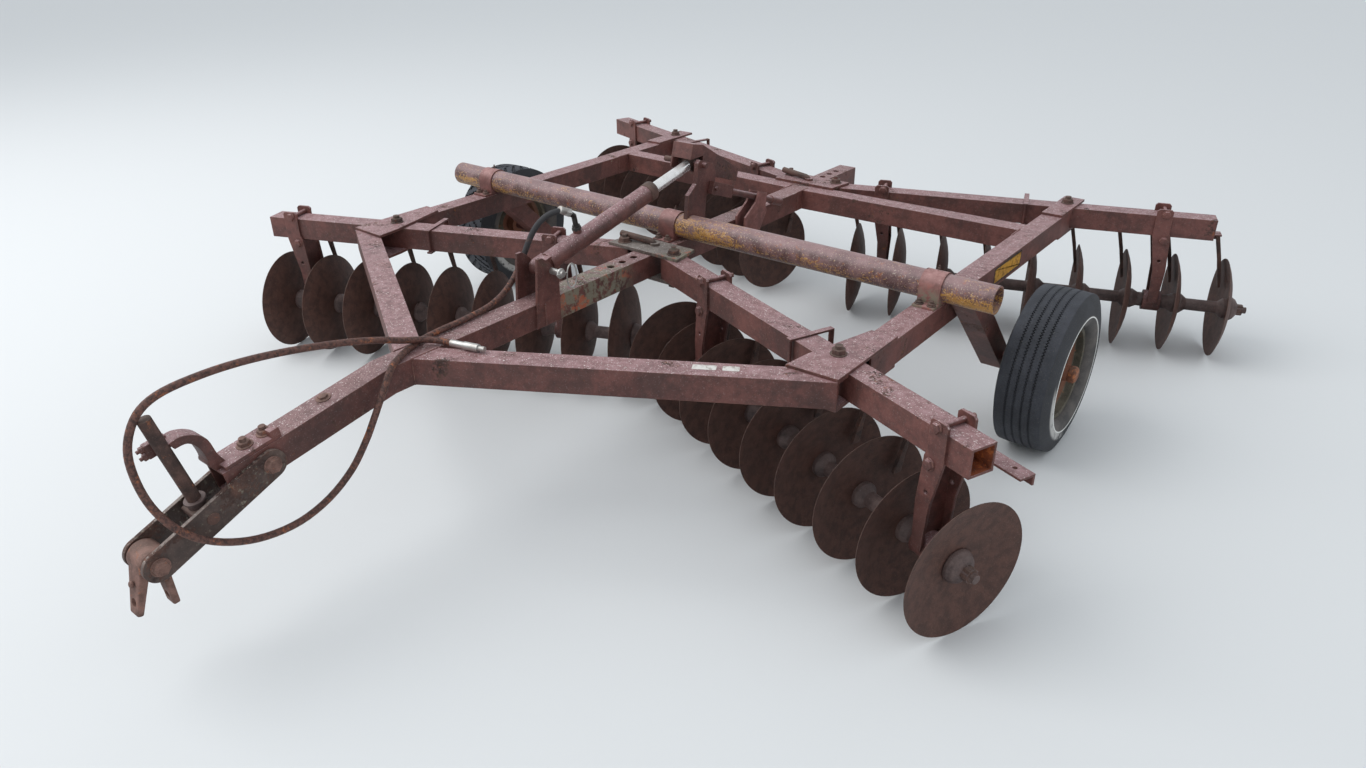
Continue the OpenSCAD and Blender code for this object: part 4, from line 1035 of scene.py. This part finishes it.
# %% Bent bracket that holds the rod
outer_mm = [(-601, 5), (-616, 48), (-623, 108), (-647, 144), (-689, 166), (-726, 164)]
inner_mm = [(-716, 138), (-678, 132), (-655, 96), (-650, 49), (-655, 29), (-638, -8)]
rim_line = [p for side in (outer_mm, inner_mm) for p in smooth_line([Vector((0.016, y / 1000, z / 1000))
    for y, z in side], 4)]
arm = outline(rim_line)
select_everything()
bpy.ops.mesh.edge_face_add()
pull((-0.062, 0, 0))
object_mode()
bevelled(arm, lambda e: abs(e.verts[0].co.x - e.verts[1].co.x) < 1e-6, 0.0025, 2)
base = block((0.1, 0.196, 0.014), (0, -0.528, 0.0072), edge=0.002)
key = block((0.03, 0.034, 0.026), (0.036, -0.446, 0.026), edge=0.003)
cap = block((0.026, 0.07, 0.05), (-0.036, -0.745, 0.15), edge=0.006, segments=3)
heads = copies_at(hex_head(0.0115, 0.011, 0.0, 0.0062, 0.02),
    [seat((-0.034, -0.78, z), (0, -1, 0)) for z in (0.137, 0.163)])
bracket = settle([placed(piece, drawbar_frame) for piece in [arm, base, key, cap] + heads],
    "levelling_bracket", "frame", maroon, 30)
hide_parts("hitch_bracket")

# %% Clevis
clevis_frame = hitch_frame @ moved(0, -HITCH_LENGTH, 0) @ rotated(-38.5)
boss = placed(drum(0.049, 0.098, 48, low=-0.049, edge=0.009, segments=4), clevis_frame
    @ seat((0, 0, 0), (1, 0, 0)))
front_jaw = block((0.082, 0.024, 0.174), (0, -0.03, -0.087), low=(0.62, 0.8), high=(1.0, 1.3), edge=0.006,
    segments=3)
rear_jaw = block((0.07, 0.024, 0.165), (0, 0.0, -0.0825), low=(0.7, 0.9), edge=0.006, segments=3)
slope = moved(0, 0.022, -0.006) @ rotated(20)
parts = [boss, placed(front_jaw, clevis_frame), placed(rear_jaw, clevis_frame @ slope)]
parts.append(placed(drum(0.011, 0.01, 20, edge=0.004, segments=3), clevis_frame
    @ seat((0, -0.046, -0.07), (0, -1, 0))))
for jaw, tilt, y, z in ((parts[1], Matrix.Identity(4), 0.065, -0.132), (parts[2], slope, 0.1, -0.13)):
    bore = placed(drum(0.014, 0.2, 28), clevis_frame @ tilt @ seat((0, y, z), (0, -1, 0)))
    only(jaw)
    cut = jaw.modifiers.new("bore", "BOOLEAN")
    cut.object = bore
    cut.solver = "EXACT"
    bpy.ops.object.modifier_apply(modifier="bore")
    bpy.data.objects.remove(bore)
settle(parts, "clevis_casting", "clevis", material=clevis_rust)
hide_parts("clevis")

# %% [markdown]
# ### Lift cylinder
# The barrel ends in a gland nut with a wiper. A steel adapter and a swivel nut join the hose to the port,
# and the base pin is held by a hairpin of spring wire.

# %% Gland, port fittings and hairpin
cylinder_frame = moved(0, BASE_PIN_Y, BASE_PIN_Z) @ rotated(12.207 - 90)
gland = [drum(0.043, 0.046, 48, low=0.676, edge=0.003), drum(0.034, 0.006, 40, low=0.7185, edge=0.002)]
settle([placed(part, cylinder_frame) for part in gland], "cylinder_gland", "barrel")
settle([placed(hex_head(0.0205, 0.014), cylinder_frame @ seat((0, -0.0505, 0.236), (0, -1, 0)))],
    "port_adapter", "barrel", dark_fitting)
end_way = (hose_points[1] - hose_points[0]).normalized()
nut = [placed(hex_head(0.0185, 0.024), seat(hose_points[0] + end_way * 0.002, end_way)),
    placed(drum(0.0155, 0.034, 28, low=0.024, edge=0.002), seat(hose_points[0], end_way))]
settle(nut, "hose_swivel_nut", "barrel", zinc)
pin_place = moved(0.113, BASE_PIN_Y, BASE_PIN_Z)
settle([placed(drum(0.021, 0.009, 32, low=-0.004, edge=0.0025), pin_place @ seat((0, 0, 0), (1, 0, 0)))],
    "base_pin_ring", "frame", zinc)
loop = []
for step in range(41):
    angle = radians(360 * step / 40)
    loop.append(Vector((0.0, 0.027 * sin(angle), 0.05 * cos(angle))))
hairpin = tube_along("hairpin", [pin_place @ moved(0.009, 0.052, -0.022) @ p for p in loop], 0.003, 8)
stem = tube_along("hairpin_leg", [pin_place @ Vector(p) for p in ((0.009, 0.03, -0.002),
    (0.009, -0.03, 0.004))], 0.003, 8)
hairpin = joined([hairpin, stem])
settle([hairpin], "base_hairpin", "frame", zinc)

# %% Grease nipples on the straps of the lift shaft
nipple = joined([hex_head(0.0065, 0.006), drum(0.0036, 0.012, 16, low=0.004, edge=0.0012)])
settle(copies_at(nipple, [seat((x, SHAFT_Y + 0.012, SHAFT_Z + 0.066), (0, 0.18, 1))
    for x in (-RAIL_X, -0.034, RAIL_X)]), "strap_nipples")

# %% Rust inside the open ends of the front beams
sleeves = []
for side in (1, -1):
    sleeve = block((0.15, 0.0852, 0.0852), (0.621, 0, TOP - HALF), edge=0.001)
    pick(sleeve, "FACE", lambda f: abs(f.normal.x) > 0.9)
    bpy.ops.mesh.delete(type="FACE")
    select_everything()
    bpy.ops.mesh.solidify(thickness=0.0008)
    object_mode()
    sleeves.append(placed(sleeve, gang_frame(True, side)))
settle(sleeves, "beam_end_rust", material=orange_rust)

# %% [markdown]
# ### Ends of the gangs
# Each axle is drawn tight by a nut, and its threaded end stands out.

# %% Axle ends
for name, front, side in GANGS:
    frame_here = gang_frame(front, side)
    first, last = hub_x(front, 0), hub_x(front, 8)
    ends = [(first + 0.0062, 1), (last - 0.0002, -1)]
    made = copies_at(hex_head(0.0285, 0.0275, 0.0, 0.0166, 0.0432),
        [frame_here @ seat((x + end * 0.046, 0, AXLE_Z), (end, 0, 0)) for x, end in ends])
    settle(made, "axle_nuts_" + name, "gang_" + name)

# %% [markdown]
# ### Welds
# A weld is a row of overlapping ripples. Each bead here is a thin tube along a joint whose radius swells
# and shrinks every four millimetres, half sunk into the corner.

# %% Weld beads


def weld(points, radius=0.0045):
    spots = []
    for a, b in zip(points, points[1:]):
        count = max(int((Vector(b) - Vector(a)).length / 0.0022), 2)
        spots += [Vector(a).lerp(Vector(b), i / count) for i in range(count)]
    return curve_tube("weld", spots, radius, 1, (0.78, 1.0))


def both(points):
    return [points, [(-x, y, z) for x, y, z in points]]


lines = []
slant = tan(radians(30))
brace_front = SHAFT_Y - 0.856 - (1.338 - HALF) * slant
width = TUBE / cos(radians(30))
lines += both([(HALF, brace_front, TOP - TUBE), (HALF, brace_front, TOP), (HALF, brace_front + width, TOP)])
arm = SHAFT_Y + 1.018
for x, y in ((HALF, arm), (RAIL_X - HALF, arm)):
    lines += both([(x, y - HALF, TOP - TUBE), (x, y - HALF, TOP), (x, y + HALF, TOP),
        (x, y + HALF, TOP - TUBE)])
lines += both([(HALF + 0.013, BASE_PIN_Y - 0.05, TOP - TUBE + 0.006),
    (HALF + 0.013, BASE_PIN_Y - 0.05, TOP - 0.002)])
lines += both([(RAIL_X - HALF, SHAFT_Y - 0.62, TOP - 0.001), (RAIL_X - HALF, SHAFT_Y - 0.72, TOP - 0.001)])
settle([weld(points) for points in lines], "frame_welds", "frame", maroon)

# %% [markdown]
# ### Stickers
# One yellow sticker with a dark border is left on the side of the rail, and two pale ones lie on the
# brace. Their print has gone, so they are blank.

# %% Stickers


def mark_border(sheet):
    mesh = bmesh.from_edit_mesh(sheet.data)
    border = mesh.verts.layers.float.new("border")
    for vertex in mesh.verts:
        vertex[border] = 1.0 if vertex.is_boundary else 0.0
    bmesh.update_edit_mesh(sheet.data)


def sticker(length, height, place, rim):
    nothing_selected()
    bpy.ops.mesh.primitive_plane_add(size=1)
    bpy.ops.transform.resize(value=(length, height, 1))
    bpy.ops.object.transform_apply()
    sheet = bpy.context.object
    edit_mode()
    select_everything()
    bpy.ops.mesh.bevel(offset=0.006, segments=3, affect="VERTICES")
    select_everything()
    bpy.ops.mesh.inset(thickness=rim)
    mark_border(sheet)
    select_everything()
    pull((0, 0, 0.0004))
    object_mode()
    return placed(sheet, place)


side_sticker = sticker(0.32, 0.078, seat((RAIL_X + HALF + 0.0002, SHAFT_Y + 0.67, TOP - 0.049), (1, 0, 0),
    (0, 1, 0)), 0.011)
settle([side_sticker], "rail_sticker", "frame", yellow_sticker)
brace_line = moved(1.338, SHAFT_Y - 0.856, TOP + 0.0002) @ rotated(30, "Z")
pale = [sticker(length, 0.036, brace_line @ moved(x, 0.062, 0), 0.002) for x,
    length in ((-0.455, 0.085), (-0.362, 0.06))]
settle(pale, "brace_stickers", "frame", pale_sticker)

# %% Finish of every solid in the part
FINISH = {
    tube_paint: ["centre_tube"],
    adjuster_paint: ["front_adjuster"],
    plate_paint: ["hitch_plates", "hitch_bracket"],
    maroon: ["brace_", "rail_", "cross_arms", "front_plates", "rear_plates", "cylinder_lugs",
             "rear_adjuster", "stop_rod", "scraper_bars", "beam_", "standards_", "lift_lever", "lift_arm_",
             "cylinder_barrel", "transport_lock", "clevis"],
    red_oxide: ["shaft_bearings", "stop_ears"],
    yellow: ["rockshaft"],
    bare_rust: ["pivot_bolts", "scrapers_", "level_rod", "rod_eye"],
    disc_rust: ["discs_"],
    spool_steel: ["arbor_"],
    rim_rust: ["rim_"],
    tyre_rubber: ["tyre_"],
    hose_rubber: ["hose"],
    chrome: ["cylinder_rod"],
    dark_fitting: ["hose_elbow"],
    zinc: ["base_pin", "hose_coupler"],
}
for material, starts in FINISH.items():
    for name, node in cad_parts.items():
        if any(name == start or (start.endswith("_") and name.startswith(start)) for start in starts):
            node.data.materials.clear()
            node.data.materials.append(material)
print("finished solids:", sum(len(o.data.materials) == 1 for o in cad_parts.values()))
